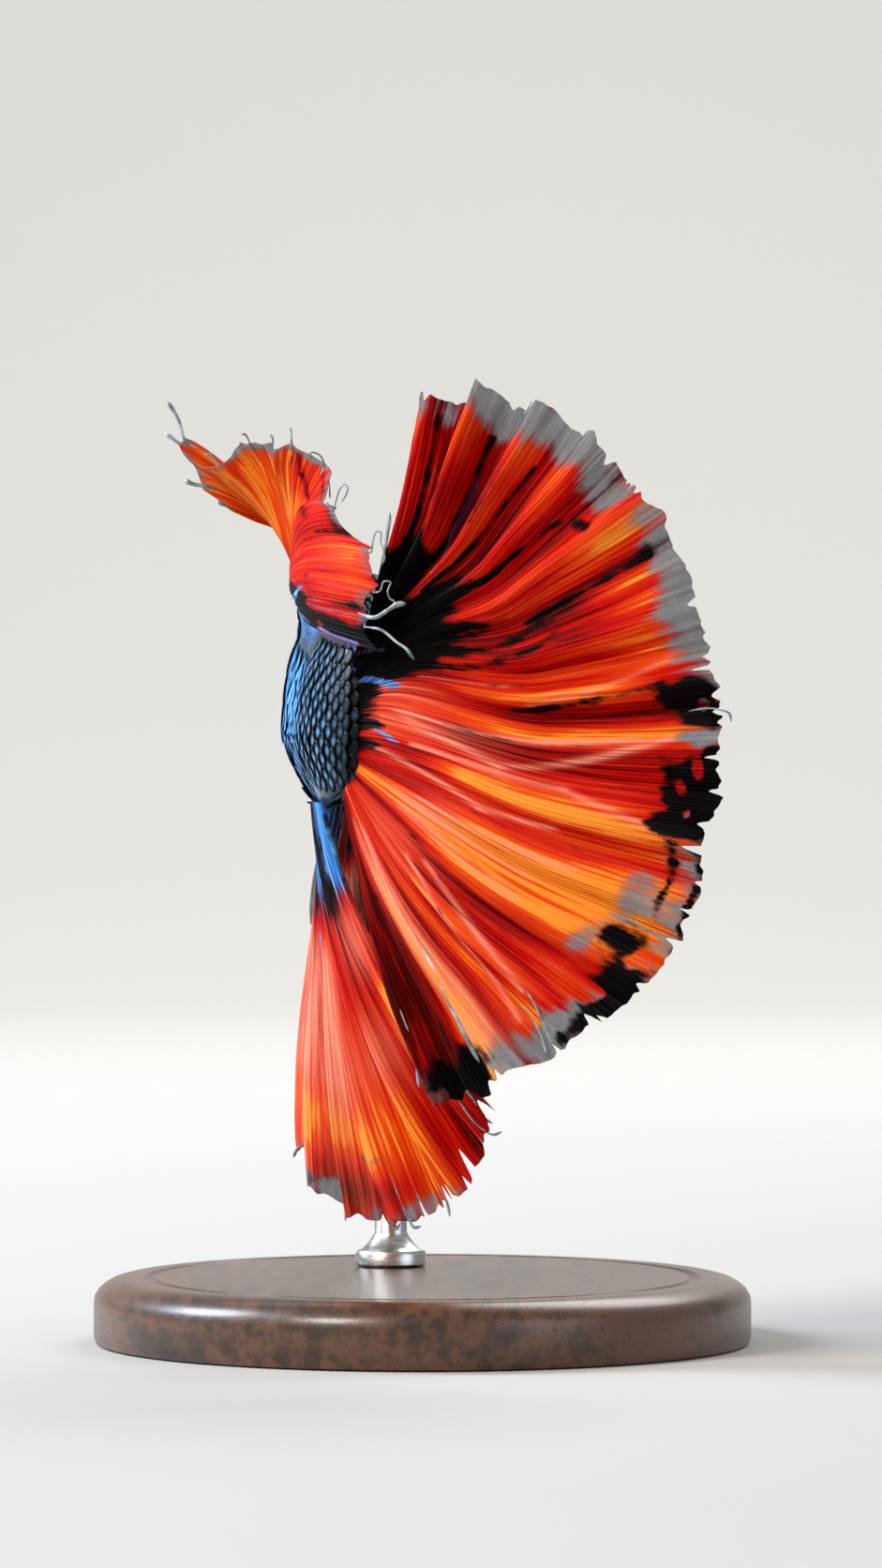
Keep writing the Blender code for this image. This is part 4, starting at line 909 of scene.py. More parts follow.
def pectoralFin(sideName, hand, spread):
    at = paired["pectoralAt"]

    def root(share):
        along = np.full(len(share), at)
        side, height = section(along, np.radians(82 + 26 * share))
        return np.stack([side + 0.1, along, height], axis=1)

    out = 0.5 + 0.4 * spread
    way = [(0, (out, -0.8, 0.35)), (1, (out, -0.7, -0.45))]
    tip = [(0, (4.3 + 2.2 * spread, at - 6.6 + 1.4 * spread, 3.0)),
           (0.35, (4.4 + 4.2 * spread, at - 8.6 + 2.0 * spread, 0.4)),
           (0.7, (4.4 + 4.4 * spread, at - 8.2 + 2.6 * spread, -2.2)),
           (1, (4.4 + 2.8 * spread, at - 5.6 + 2.6 * spread, -3.6))]
    fin = {"grid": (180, 36), "rays": paired["rays"], "thick": 0.2, "sunk": -0.06,
           "rimLength": 9.0, "rayLength": 9.0,
           "folds": lambda s, v: (0.12 * np.sin(8 * math.pi * s) + 0.07 * np.cos(26 * math.pi * s)) * v,
           "rim": lambda s: 1 - 0.05 * np.abs(np.sin(6 * math.pi * s)) ** 0.6
           - 0.025 * np.abs(np.sin(26 * math.pi * s)) ** 0.7}

    def zones(share, v, out):
        return {"warm": 0.1 + 0.2 * rayRidges(share, v, 13), "dark": 0.35 * (1 - ease(v, 0.05, 0.25)),
                "blushAndHighlight": 0.1 + 0 * v, "clear": 0.28 + 0.25 * ease(v, 0.1, 0.6) - 0.3 * rayRidges(share, v, 13),
                "blue": 0.25 * (1 - ease(v, 0.0, 0.3))}
    pairedFin("pectoral_membrane_" + sideName, "pectoral_fin_" + sideName, hand, at, root, way, tip, fin, zones)


def pelvicFin(sideName, hand, flare):
    at = paired["pelvicAt"]
    low = smooth(1 - at / body["standardLength"], body["belly"])[0] - body["gap"]

    def root(share):
        return np.stack([0.75 + 0.6 * share, at - 0.9 * share, low + 0.1 * share], axis=1)

    out, down = 0.45 + 0.4 * flare, -0.9 + 0.3 * flare
    way = [(0, (out, -0.05, down)), (0.5, (out, -0.25, down)), (1, (out + 0.1, -0.6, down + 0.1))]
    tip = [(0, (3.0 + 2.6 * flare, at - 4.6, -18.6)), (1, (3.2 + 2.6 * flare, at - 5.2, -17.6))]
    fin = {"grid": (48, 110), "rays": 5, "thick": 0.3, "sunk": -0.04, "rimLength": 2.2, "rayLength": 15.0,
           "folds": lambda s, v: 0.1 * np.sin(4 * math.pi * s) * ease(v, 0.1, 0.6) + 0 * v,
           "rim": lambda s: 1 - 0.12 * s - 0.03 * np.abs(np.sin(5 * math.pi * s))}

    def zones(share, v, out):
        return {"warm": 0.05 + 0.1 * ease(v, 0.15, 0.6), "dark": 0.4 * (1 - ease(v, 0.0, 0.2)) + 0.2 * ease(share, 0.7, 1),
                "blushAndHighlight": 0.4 * ease(v, 0.86, 0.97), "clear": 0.35 + 0.35 * ease(v, 0.0, 0.2), "blue": 0 * v}
    pairedFin("pelvic_membrane_" + sideName, "pelvic_fin_" + sideName, hand, at, root, way, tip, fin, zones)


pectoralFin("left", -1, 0.0)
pectoralFin("right", 1, 0.8)
pelvicFin("left", -1, 0.9)
pelvicFin("right", 1, 0.3)
say("paired fins")

# ---- skin: one closed body from the snout to the root of the tail fin

head = {
    "eyeAt": 42.5, "eyeSide": 2.35, "eyeHeight": 1.5, "eyeRadius": 1.65, "eyeFlat": 0.95,
    "coverAt": (37.9, -0.4), "coverSize": (2.6, 3.3),
    "gape": ((48.2, 1.9), (44.6, -0.5)),
    "nostril": (45.3, 2.7),
}
skinGrid = {"around": 144, "bodyRings": 120, "headRings": 170, "endRings": 7}


def besideLine(d, height, ends):
    (d0, h0), (d1, h1) = ends
    t = np.clip(((d - d0) * (d1 - d0) + (height - h0) * (h1 - h0)) / ((d1 - d0) ** 2 + (h1 - h0) ** 2), 0, 1)
    return np.hypot(d - d0 - t * (d1 - d0), height - h0 - t * (h1 - h0)), t


def headRelief(d, side, height):
    # folds of the head: orbit, gill cover and its plates, lips, nostril
    flank = ease(np.abs(side), 0.5, 1.3)
    r = np.hypot(d - head["eyeAt"], height - head["eyeHeight"])
    lift = 0.17 * np.exp(-(((r - 1.92) / 0.26) ** 2)) - 0.55 * (1 - ease(r, 1.2, 1.72))
    lift = lift - 0.06 * np.exp(-(((r - 2.45) / 0.2) ** 2))
    (ca, ch), (ra, rh) = head["coverAt"], head["coverSize"]
    q = np.hypot((d - ca) / ra, (height - ch) / rh)
    rear = 1 - ease(d, 38.6, 40.4)
    lift = lift + 0.16 * (1 - ease(q, 0.9, 1.0)) * rear - 0.26 * np.exp(-(((q - 1.06) / 0.055) ** 2)) * rear
    plate = np.hypot((d - 40.1) / 1.7, (height - 0.2) / 3.1)
    lift = lift - 0.1 * np.exp(-(((plate - 1) / 0.07) ** 2)) * (1 - ease(d, 40.2, 41.4))
    lift = lift + 0.05 * np.cos(7 * (height + 0.5 * d)) * np.exp(-(((q - 0.75) / 0.12) ** 2)) * rear
    off, t = besideLine(d, height, head["gape"])
    lips = 0.16 * np.exp(-(((off - 0.36) / 0.17) ** 2)) * (1 - ease(t, 0.55, 0.95))
    crease = -0.34 * np.exp(-((off / 0.13) ** 2)) * (1 - ease(t, 0.86, 1.0))
    pit = np.hypot(d - head["nostril"][0], height - head["nostril"][1])
    lift = lift + 0.06 * np.exp(-(((pit - 0.3) / 0.1) ** 2)) - 0.2 * np.exp(-((pit / 0.15) ** 2))
    throat = 0.05 * np.cos(2 * math.pi * (d + height) / 0.9) * ease(-height, 2.6, 3.6) * ease(d, 38.5, 40)
    return (lift + throat * (1 - ease(d, 43.5, 45))) * flank + (lips + crease) * ease(d, 43.8, 44.6)


def skinAt(d, angle):
    # a point of the skin, with its side and height beside the body's line
    side, height = section(d, angle, body["coatDepth"])
    snout = np.sqrt(np.clip(1 - np.clip((d - 46.9) / 1.12, 0, 1) ** 2, 0.0, 1))
    centre = 1.95
    side, height = side * snout, centre + (height - centre) * snout
    side = side * (0.02 + 0.98 * ease(d, -0.35, 0.5) ** 0.5)
    under = np.clip(-np.cos(angle), 0, 1)
    height = height + body["heel"] * under ** 3 * (1 - ease(d, -0.35, 2.6))
    side = side * (1 - body["keel"] * under * (1 - ease(d, 12, 24)))
    side = side * np.where(under > 0, np.abs(np.sin(angle)) ** (1.3 * (1 - ease(d, 7, 14))), 1)
    bulge = body["stemBulge"] * np.sin(angle) ** 2 * (1 - ease(d, 0.0, 6.0))
    return place(d - bulge, side, height), side, height


def reliefSkin(d, angle):
    point, side, height = skinAt(d, angle)
    across = skinAt(d, angle + 0.01)[0] - skinAt(d, angle - 0.01)[0]
    along = skinAt(np.minimum(d + 0.03, 48.02), angle)[0] - skinAt(d - 0.03, angle)[0]
    out = unit(np.cross(across, along))
    centre = place(d, 0, (smooth(1 - d / 48.0, body["back"]) + smooth(1 - d / 48.0, body["belly"])) / 2)
    out = np.where(((point - centre) * out).sum(axis=-1, keepdims=True) < 0, -out, out)
    lift = headRelief(d, side, height) * ease(d, 33.5, 35.0) * (1 - 0.9 * ease(d, 47.5, 48.0))
    return point + out * lift[:, None], out, side, height


def skinPiece(material):
    around = skinGrid["around"]
    ends = -0.35 + 0.85 * np.linspace(0, 1, skinGrid["endRings"]) ** 1.6
    rings = np.concatenate([ends, np.linspace(0.55, 34.0, skinGrid["bodyRings"]),
                            34.05 + 13.93 * np.linspace(0, 1, skinGrid["headRings"]) ** 0.85])
    angles = np.arange(around) * 2 * math.pi / around
    d, angle = np.repeat(rings, around), np.tile(angles, len(rings))
    point, _, side, height = reliefSkin(d, angle)
    n = len(rings)
    grid = np.arange(n * around).reshape(n, around)
    after = np.roll(grid, -1, axis=1)
    quads = np.stack([grid[:-1], after[:-1], after[1:], grid[1:]], axis=-1).reshape(-1, 4)[:, ::-1]
    tail, snout = point[:around].mean(axis=0), point[-around:].mean(axis=0)
    points = np.concatenate([point, [tail, snout]])
    last = n * around
    triangles = [(last, (k + 1) % around, k) for k in range(around)]
    triangles += [(last + 1, last - around + k, last - around + (k + 1) % around) for k in range(around)]
    triangles = np.array(triangles)
    u = np.repeat(rings / 50 + 0.01, around)
    v = np.tile(np.arange(around) / around, n)
    pair = np.concatenate([np.stack([u, v], axis=1), [[0.0, 0.5], [0.985, 0.5]]])
    corners = np.concatenate([quads.ravel(), triangles.ravel()])
    pairs = pair[corners]
    lastColumn = np.zeros(len(corners), bool)
    lastColumn[:len(quads) * 4] = np.repeat((quads % around == 0).any(axis=1) & (quads % around == around - 1).any(axis=1), 4)
    pairs[lastColumn & (corners % around == 0), 1] = 1.0
    zones = skinZones(d, side, height, angle)
    values = {zone: np.concatenate([amount, amount[:1], amount[-1:]]) for zone, amount in zones.items()}
    return meshPiece("body_skin", points, quads, triangles, maps={"OFBake": pairs}, values=values)


def skinZones(d, side, height, angle):
    r = np.hypot(d - head["eyeAt"], height - head["eyeHeight"])
    off, t = besideLine(d, height, head["gape"])
    blue = 0.1 + 0.15 * ease(d, 4, 12) + 0.25 * ease(-height, 0, 4) * (1 - ease(d, 34, 38)) * ease(d, 6, 12)
    blue = blue + 0.4 * ease(-height, 0.2, 1.8) * (1 - ease(d, 6, 10)) * ease(d, 2.4, 4.4)
    blue = blue + 0.3 * ease(np.cos(angle), 0.7, 0.95) * ease(d, 6, 8) * (1 - ease(d, 20, 23))
    blue = blue + 0.35 * np.exp(-(((r - 2.6) / 0.5) ** 2)) * (height < 1.0) + 0.2 * np.exp(-(((d - 38.5) / 1.8) ** 2))
    pale = 0.7 * np.exp(-((off / 0.5) ** 2)) * ease(d, 44.5, 46)
    (ca, ch), (ra, rh) = head["coverAt"], head["coverSize"]
    q = np.hypot((d - ca) / ra, (height - ch) / rh)
    rosy = np.exp(-(((q - 1.05) / 0.07) ** 2)) * (1 - ease(d, 38.6, 40.4)) + 0.5 * ease(-height, 3.0, 4.5) * ease(d, 36, 40)
    return {"blue": np.clip(blue, 0, 1), "pale": pale, "rosy": np.clip(rosy, 0, 1)}


def skinMaterial():
    # slate-dark wet skin with a blue guanine sheen, grey lips and a dull red gill slit
    made, tree = newMaterial("slateWetSkin")
    where = addNode(tree, "ShaderNodeTexCoord").outputs["Object"]
    zone = {key: addNode(tree, "ShaderNodeAttribute", {"attribute_name": key}).outputs["Fac"]
            for key in ("blue", "pale", "rosy")}
    speck = addNode(tree, "ShaderNodeTexNoise", None, {
        "Vector": where, "Scale": 1 / (0.45 * mm), "Detail": 5.0, "Roughness": 0.65}).outputs["Fac"]
    cloud = addNode(tree, "ShaderNodeTexNoise", None, {
        "Vector": where, "Scale": 1 / (3.0 * mm), "Detail": 3.0}).outputs["Fac"]
    ground = setRamp(addNode(tree, "ShaderNodeValToRGB", None, {"Fac": cloud}), [
        (0.3, "#0D1118"), (0.55, "#18212E"), (0.75, "#263242")]).outputs["Color"]
    sheen = addNode(tree, "ShaderNodeMath", {"operation": "MULTIPLY_ADD"}, {0: speck, 1: 1.1, 2: -0.5}).outputs[0]
    sheen = addNode(tree, "ShaderNodeMath", {"operation": "ADD"}, {0: sheen, 1: zone["blue"]}).outputs[0]
    sheen = addNode(tree, "ShaderNodeMapRange", {"interpolation_type": "SMOOTHSTEP"}, {
        "Value": sheen, "From Min": 0.15, "From Max": 1.0}).outputs["Result"]
    blued = addNode(tree, "ShaderNodeMix", {"data_type": "RGBA"}, {
        0: sheen, 6: ground, 7: linear("#4483C2")}).outputs[2]
    rosy = addNode(tree, "ShaderNodeMix", {"data_type": "RGBA"}, {
        0: zone["rosy"], 6: blued, 7: linear("#5E1512")}).outputs[2]
    lips = addNode(tree, "ShaderNodeMix", {"data_type": "RGBA"}, {
        0: zone["pale"], 6: rosy, 7: linear("#59616B")}).outputs[2]
    bump = addNode(tree, "ShaderNodeBump", None, {
        "Height": speck, "Strength": 0.4, "Distance": 0.06 * mm}).outputs["Normal"]
    shader = addNode(tree, "ShaderNodeBsdfPrincipled", None, {
        "Base Color": lips, "Roughness": 0.4, "Metallic": 0.1, "IOR": 1.4, "Specular IOR Level": 0.25,
        "Normal": bump, "Coat Weight": 0.15, "Coat Roughness": 0.15}).outputs["BSDF"]
    addNode(tree, "ShaderNodeOutputMaterial", None, {"Surface": shader})
    return made


skinNodes = ["head", "lower_jaw", "gill_cover_left", "gill_cover_right", "trunk", "tail_stem"]
finishPiece(skinPiece(skinMaterial()), skinMaterial(), skinNodes)
say("skin")

# ---- scales

scales = {
    "rowPitch": (0.42, 0.9), "around": 19,     # exposed length at the tail stem and on the trunk; how many round it
    "headPitch": 0.8, "headAround": 30,
    "overlap": 2.1, "headOverlap": 1.5, "widen": 1.2,
    "lift": 0.06, "thick": 0.02,
    "tiltSpread": 0.05, "seed": 7, "bakePatch": 0.003,
}


def plateMesh():
    # one shield-shaped scale, 1 wide and 1 long, rising towards its free edge
    columns, rows = 6, 6
    across, along = np.meshgrid(np.linspace(-1, 1, columns), np.linspace(0, 1, rows), indexing="ij")
    wide = 0.5 * np.sqrt(np.clip(1 - ((along - 0.42) / 0.6) ** 2, 0.02, 1)) * (along > 0.42) + 0.5 * (
        0.72 + 0.28 * ease(along, 0, 0.42)) * (along <= 0.42)
    x = across * wide
    z = scales["lift"] * along + 0.03 * (1 - across**2) * np.sin(math.pi * np.clip(along, 0.1, 1)) - 0.015
    top = np.stack([x, along, z], axis=-1)
    points, quads = closedSheet(top, top - (0, 0, scales["thick"]))
    plan = np.stack([(across.ravel() + 1) / 2, along.ravel()], axis=1)
    made = meshPiece("scale_plate", points / mm, quads[:, ::-1], maps={"plateUv": np.tile(plan, (2, 1))})
    return made


def scatterTree(name):
    # instances of one small object on points that carry their own turn, size and place on the skin's unwrap
    tree = bpy.data.node_groups.new(name, "GeometryNodeTree")
    sockets = {}
    for label, kind in (("Points", "Geometry"), ("Plate", "Object"), ("Tilt Spread", "Float"),
                        ("Patch Size", "Float"), ("Seed", "Int"), ("Finish", "Material")):
        sockets[label] = tree.interface.new_socket(label, in_out="INPUT", socket_type="NodeSocket" + kind).identifier
    tree.interface.new_socket("Geometry", in_out="OUTPUT", socket_type="NodeSocketGeometry")
    given = addNode(tree, "NodeGroupInput").outputs
    named = {key: addNode(tree, "GeometryNodeInputNamedAttribute", {"data_type": "FLOAT_VECTOR"},
                          {"Name": key}).outputs["Attribute"] for key in ("turnTo", "plateSize", "rootUv", "plateUv")}
    turned = addNode(tree, "FunctionNodeEulerToRotation", None, {0: named["turnTo"]}).outputs[0]
    plate = addNode(tree, "GeometryNodeObjectInfo", None, {"Object": given["Plate"]}).outputs["Geometry"]
    stood = addNode(tree, "GeometryNodeInstanceOnPoints", None, {
        "Points": given["Points"], "Instance": plate, "Rotation": turned, "Scale": named["plateSize"]})
    low = addNode(tree, "ShaderNodeVectorMath", {"operation": "SCALE"}, {0: (-1, -1, -1), "Scale": given["Tilt Spread"]})
    high = addNode(tree, "ShaderNodeVectorMath", {"operation": "SCALE"}, {0: (1, 1, 1), "Scale": given["Tilt Spread"]})
    tilt = addNode(tree, "FunctionNodeRandomValue", {"data_type": "FLOAT_VECTOR"}, {
        0: low.outputs[0], 1: high.outputs[0], "Seed": given["Seed"]}).outputs[0]
    tilt = addNode(tree, "FunctionNodeEulerToRotation", None, {0: tilt}).outputs[0]
    tilted = addNode(tree, "GeometryNodeRotateInstances", None, {
        "Instances": stood.outputs["Instances"], "Rotation": tilt}).outputs[0]
    real = addNode(tree, "GeometryNodeRealizeInstances", None, {0: tilted}).outputs[0]
    off = addNode(tree, "ShaderNodeVectorMath", {"operation": "SCALE"}, {0: named["plateUv"], "Scale": given["Patch Size"]})
    at = addNode(tree, "ShaderNodeVectorMath", {"operation": "ADD"}, {0: off.outputs[0], 1: named["rootUv"]})
    stored = addNode(tree, "GeometryNodeStoreNamedAttribute", {"data_type": "FLOAT2", "domain": "CORNER"}, {
        "Geometry": real, "Name": "OFBake", "Value": at.outputs[0]}).outputs[0]
    finished = addNode(tree, "GeometryNodeSetMaterial", None, {"Geometry": stored, "Material": given["Finish"]}).outputs[0]
    addNode(tree, "NodeGroupOutput", None, {0: finished})
    return tree, sockets


def scatter(name, points, turns, sizes, roots, extra, plate, inputs):
    holder = meshPiece(name + "_points", points, [], values=dict(
        {"turnTo": turns, "plateSize": np.asarray(sizes) * mm, "rootUv": roots}, **extra))
    tree, sockets = scatterTree(name)
    modifier = holder.modifiers.new(name, "NODES")
    modifier.node_group = tree
    modifier[sockets["Plate"]] = plate
    for label, value in inputs.items():
        modifier[sockets[label]] = value
    graph = bpy.context.evaluated_depsgraph_get()
    mesh = bpy.data.meshes.new_from_object(holder.evaluated_get(graph), preserve_all_data_layers=True, depsgraph=graph)
    bpy.data.objects.remove(holder)
    bpy.data.objects.remove(plate)
    mesh.name = name
    mesh.shade_smooth()
    made = bpy.data.objects.new(name, mesh)
    bpy.context.scene.collection.objects.link(made)
    return made


def scaleRows():
    # (along, angle, pitch, width) for each scale, in staggered rows from the tail stem to the cheeks
    fine = np.linspace(0, 2 * math.pi, 721)
    rows = []
    along, number = 0.25, 0
    while along < 43.0:
        onHead = along > body["headStarts"]
        stem, trunk = scales["rowPitch"]
        pitch = scales["headPitch"] if onHead else stem + (trunk - stem) * float(ease(along, 2.5, 11.0))
        around = scales["headAround"] if onHead else scales["around"]
        line = skinAt(np.full_like(fine, along), fine)[0]
        run = np.concatenate([[0], np.cumsum(np.linalg.norm(np.diff(line, axis=0), axis=1))])
        at = (np.arange(around) + 0.5 * (number % 2)) / around * run[-1]
        for angle in np.interp(at, run, fine):
            rows.append((along, angle, pitch, run[-1] / around))
        along += pitch
        number += 1
    return np.array(rows)


def bodyScales(material):
    d, angle, pitch, width = scaleRows().T
    point, out, side, height = reliefSkin(d, angle)
    ahead = spine(d)[2]
    back = unit(-ahead + out * (ahead * out).sum(axis=1, keepdims=True))
    across = np.cross(back, out)
    r = np.hypot(d - head["eyeAt"], height - head["eyeHeight"])
    (ca, ch), (ra, rh) = head["coverAt"], head["coverSize"]
    q = np.hypot((d - ca) / ra, (height - ch) / rh)
    fromTop = np.minimum(angle, 2 * math.pi - angle)
    bare = np.interp(d, [5.9, 6.0, 13.0, 15.0, 20.0, 22.0], [0.45, 1.0, 1.0, 0.45, 0.45, 0.0])
    onSheath = fromTop < bare * np.where(angle < math.pi, 1.05, 0.8)
    onVentRoot = (np.abs(angle - math.pi) < 0.85) & (d < 6.5)
    onCheek = (r > 2.6) & (d < 41.5) & ((q < np.where(d < 39.5, 0.86, 0)) | (height > 2.9) | (d < 35.6))
    keep = np.where(d < 35.0, ~onSheath & ~onVentRoot, onCheek)
    chance = np.random.RandomState(scales["seed"])
    tone = chance.rand(len(d))
    turns = [tuple(Matrix(np.stack([a, b, c], axis=1)).to_euler()) for a, b, c in zip(across, back, out)]
    long = pitch * np.where(d < body["headStarts"], scales["overlap"], scales["headOverlap"])
    sizes = np.stack([width * scales["widen"], long, 1 + 0.8 * ease(d, 34, 36)], axis=1)
    roots = np.stack([d / 50 + 0.01, angle / (2 * math.pi), np.zeros_like(d)], axis=1)
    # painted shade: scales darken on top, on the head and towards the tail root, and near the stem only those facing
    # sideways stay lit; the gleam is a painted highlight along both flanks
    sideways = np.abs((out * spine(d)[1]).sum(axis=1))
    flank = ease(sideways, 0.45, 0.85) * (1 - ease(d, 7, 12)) + ease(d, 7, 12)
    shade = (0.4 + 0.3 * (1 - ease(height, -1.5, 4.5)) + 0.3 * ease(sideways, 0.8, 1.0)) * flank
    shade = shade * (1 - 0.4 * ease(d, 33, 37)) * ease(d, 0.2, 3.4)
    gleam = ease(sideways, 0.8, 0.98) * ease(d, 4.5, 9.0) * (1 - 0.75 * ease(d, 13, 26)) * (0.6 + 0.4 * tone)
    pick = lambda values: np.asarray(values)[keep]
    return scatter("body_scales", pick(point), pick(turns), pick(sizes), pick(roots),
                   {"tone": pick(tone), "shade": pick(shade), "gleam": pick(gleam)}, plateMesh(),
                   {"Tilt Spread": scales["tiltSpread"], "Patch Size": scales["bakePatch"],
                    "Seed": scales["seed"], "Finish": material})


def scaleMaterial():
    # fish scale: a clear horny plate over blue guanine. Its middle shines, its rim is rimmed with black pigment.
    made, tree = newMaterial("blueGuanineScale")
    plate = addNode(tree, "ShaderNodeUVMap", {"uv_map": "plateUv"}).outputs["UV"]
    tone = addNode(tree, "ShaderNodeAttribute", {"attribute_name": "tone"}).outputs["Fac"]
    shade = addNode(tree, "ShaderNodeAttribute", {"attribute_name": "shade"}).outputs["Fac"]
    centred = addNode(tree, "ShaderNodeMapping", {"vector_type": "POINT"}, {
        "Vector": plate, "Location": (-1.0, -1.15, 0), "Scale": (2.0, 1.75, 1)}).outputs["Vector"]
    out = addNode(tree, "ShaderNodeVectorMath", {"operation": "LENGTH"}, {0: centred}).outputs["Value"]
    grain = addNode(tree, "ShaderNodeTexNoise", {"noise_dimensions": "2D"}, {
        "Vector": plate, "Scale": 7.0, "Detail": 3.0}).outputs["Fac"]
    out = addNode(tree, "ShaderNodeMath", {"operation": "MULTIPLY_ADD"}, {0: grain, 1: 0.35, 2: out}).outputs[0]
    colour = setRamp(addNode(tree, "ShaderNodeValToRGB", None, {"Fac": out}), [
        (0.4, "#4F84AC"), (0.6, "#2A567A"), (0.76, "#0C1925"), (0.9, "#020305")]).outputs["Color"]
    # painted shade: the shade attribute, with a little random tone, darkens the scale towards near black
    light = addNode(tree, "ShaderNodeMath", {"operation": "MULTIPLY_ADD"}, {0: tone, 1: 0.3, 2: shade}).outputs[0]
    light = addNode(tree, "ShaderNodeMapRange", None, {
        "Value": light, "From Min": 0.12, "From Max": 1.05, "To Min": 0.0, "To Max": 1.0}).outputs["Result"]
    lit = addNode(tree, "ShaderNodeMix", {"data_type": "RGBA"}, {
        0: light, 6: linear("#05080D"), 7: colour}).outputs[2]
    # painted highlight: the gleam attribute turns the scale a pale sky blue
    gleam = addNode(tree, "ShaderNodeAttribute", {"attribute_name": "gleam"}).outputs["Fac"]
    shining = setRamp(addNode(tree, "ShaderNodeValToRGB", None, {"Fac": out}), [
        (0.55, "#5AACEE"), (0.85, "#3B88D2"), (1.0, "#1B4470")]).outputs["Color"]
    lit = addNode(tree, "ShaderNodeMix", {"data_type": "RGBA"}, {0: gleam, 6: lit, 7: shining}).outputs[2]
    bump = addNode(tree, "ShaderNodeBump", None, {
        "Height": grain, "Strength": 0.3, "Distance": 0.04 * mm}).outputs["Normal"]
    shader = addNode(tree, "ShaderNodeBsdfPrincipled", None, {
        "Base Color": lit, "Roughness": 0.42, "IOR": 1.45, "Specular IOR Level": 0.12,
        "Normal": bump, "Coat Weight": 0.03, "Coat Roughness": 0.2}).outputs["BSDF"]
    addNode(tree, "ShaderNodeOutputMaterial", None, {"Surface": shader})
    return made


scaleFinish = scaleMaterial()
finishPiece(bodyScales(scaleFinish), scaleFinish, ["trunk", "tail_stem"])
say("scales")

# ---- eyes


def eyePiece(sideName, hand, material):
    # a flattened ball whose iris dips round a raised pupil
    rings, around = 36, 56
    polar, angle = np.meshgrid(np.linspace(0, math.pi, rings), np.arange(around) * 2 * math.pi / around, indexing="ij")
    dip = 0.06 * np.exp(-(((polar - 0.62) / 0.2) ** 2))
    outward = np.cos(polar) * (head["eyeFlat"] - dip)
    local = np.stack([outward, np.sin(polar) * np.cos(angle) * head["eyeRadius"],
                      np.sin(polar) * np.sin(angle) * head["eyeRadius"]], axis=-1).reshape(-1, 3)
    local[:, 0] *= hand
    turnEye = Matrix.Rotation(math.radians(-9 * hand), 3, "Y") @ Matrix.Rotation(math.radians(16 * hand), 3, "Z")
    local = local @ np.array(turnEye).T + (hand * head["eyeSide"], head["eyeAt"], head["eyeHeight"])
    point, right, ahead, up = (v[0] for v in spine(body["headStarts"]))
    world = (point + local[:, :1] * right + (local[:, 1:2] - body["headStarts"]) * ahead + local[:, 2:] * up)
    grid = np.arange(rings * around).reshape(rings, around)
    after = np.roll(grid, -1, axis=1)
    quads = np.stack([grid[1:-2], grid[2:-1], after[2:-1], after[1:-2]], axis=-1).reshape(-1, 4)
    top, bottom = 0, (rings - 1) * around
    triangles = [(top, around + k, around + (k + 1) % around) for k in range(around)]
    triangles += [(bottom, bottom - around + (k + 1) % around, bottom - around + k) for k in range(around)]
    triangles = np.array(triangles)
    if hand < 0:
        quads, triangles = quads[:, ::-1], triangles[:, ::-1]
    used = np.unique(np.concatenate([quads.ravel(), triangles.ravel()]))
    number = np.zeros(rings * around, int)
    number[used] = np.arange(len(used))
    fromPupil = np.stack([polar.ravel() / math.pi, angle.ravel() / (2 * math.pi), 0 * angle.ravel()], axis=1)
    pair = 0.5 + 0.49 * np.stack([polar * np.cos(angle), polar * np.sin(angle)], axis=-1).reshape(-1, 2) / math.pi
    made = meshPiece("eyeball_" + sideName, world[used], number[quads], number[triangles],
                     maps={"OFBake": pair[used]}, values={"iris": fromPupil[used]})
    return finishPiece(made, material, ["eye_" + sideName])


def eyeMaterial():
    # living eye: black pupil, a thin gold ring, a dark blue-green iris with gold flecks, under a clear wet cornea
    made, tree = newMaterial("wetCorneaIris")
    iris = addNode(tree, "ShaderNodeAttribute", {"attribute_name": "iris"}).outputs["Vector"]
    part = addNode(tree, "ShaderNodeSeparateXYZ", None, {0: iris}).outputs
    where = addNode(tree, "ShaderNodeTexCoord").outputs["Object"]
    fleck = addNode(tree, "ShaderNodeTexNoise", None, {
        "Vector": where, "Scale": 1 / (0.22 * mm), "Detail": 4.0}).outputs["Fac"]
    ring = addNode(tree, "ShaderNodeMath", {"operation": "MULTIPLY_ADD"}, {0: fleck, 1: 0.03, 2: part["X"]}).outputs[0]
    colour = setRamp(addNode(tree, "ShaderNodeValToRGB", None, {"Fac": ring}), [
        (0.15, "#020203"), (0.165, "#B98A34"), (0.19, "#7A5A22"), (0.22, "#1E4A52"), (0.31, "#12303C"),
        (0.37, "#0A0E12")]).outputs["Color"]
    gold = addNode(tree, "ShaderNodeMapRange", {"interpolation_type": "SMOOTHSTEP"}, {
        "Value": fleck, "From Min": 0.54, "From Max": 0.68, "To Max": 0.8}).outputs["Result"]
    inRing = addNode(tree, "ShaderNodeMapRange", {"interpolation_type": "SMOOTHSTEP"}, {
        "Value": part["X"], "From Min": 0.17, "From Max": 0.2}).outputs["Result"]
    gold = addNode(tree, "ShaderNodeMath", {"operation": "MULTIPLY"}, {0: gold, 1: inRing}).outputs[0]
    flecked = addNode(tree, "ShaderNodeMix", {"data_type": "RGBA"}, {
        0: gold, 6: colour, 7: linear("#6FA6A0")}).outputs[2]
    shader = addNode(tree, "ShaderNodeBsdfPrincipled", None, {
        "Base Color": flecked, "Roughness": 0.3, "Specular IOR Level": 0.15, "IOR": 1.38, "Coat Weight": 0.4,
        "Coat Roughness": 0.02}).outputs["BSDF"]
    addNode(tree, "ShaderNodeOutputMaterial", None, {"Surface": shader})
    return made


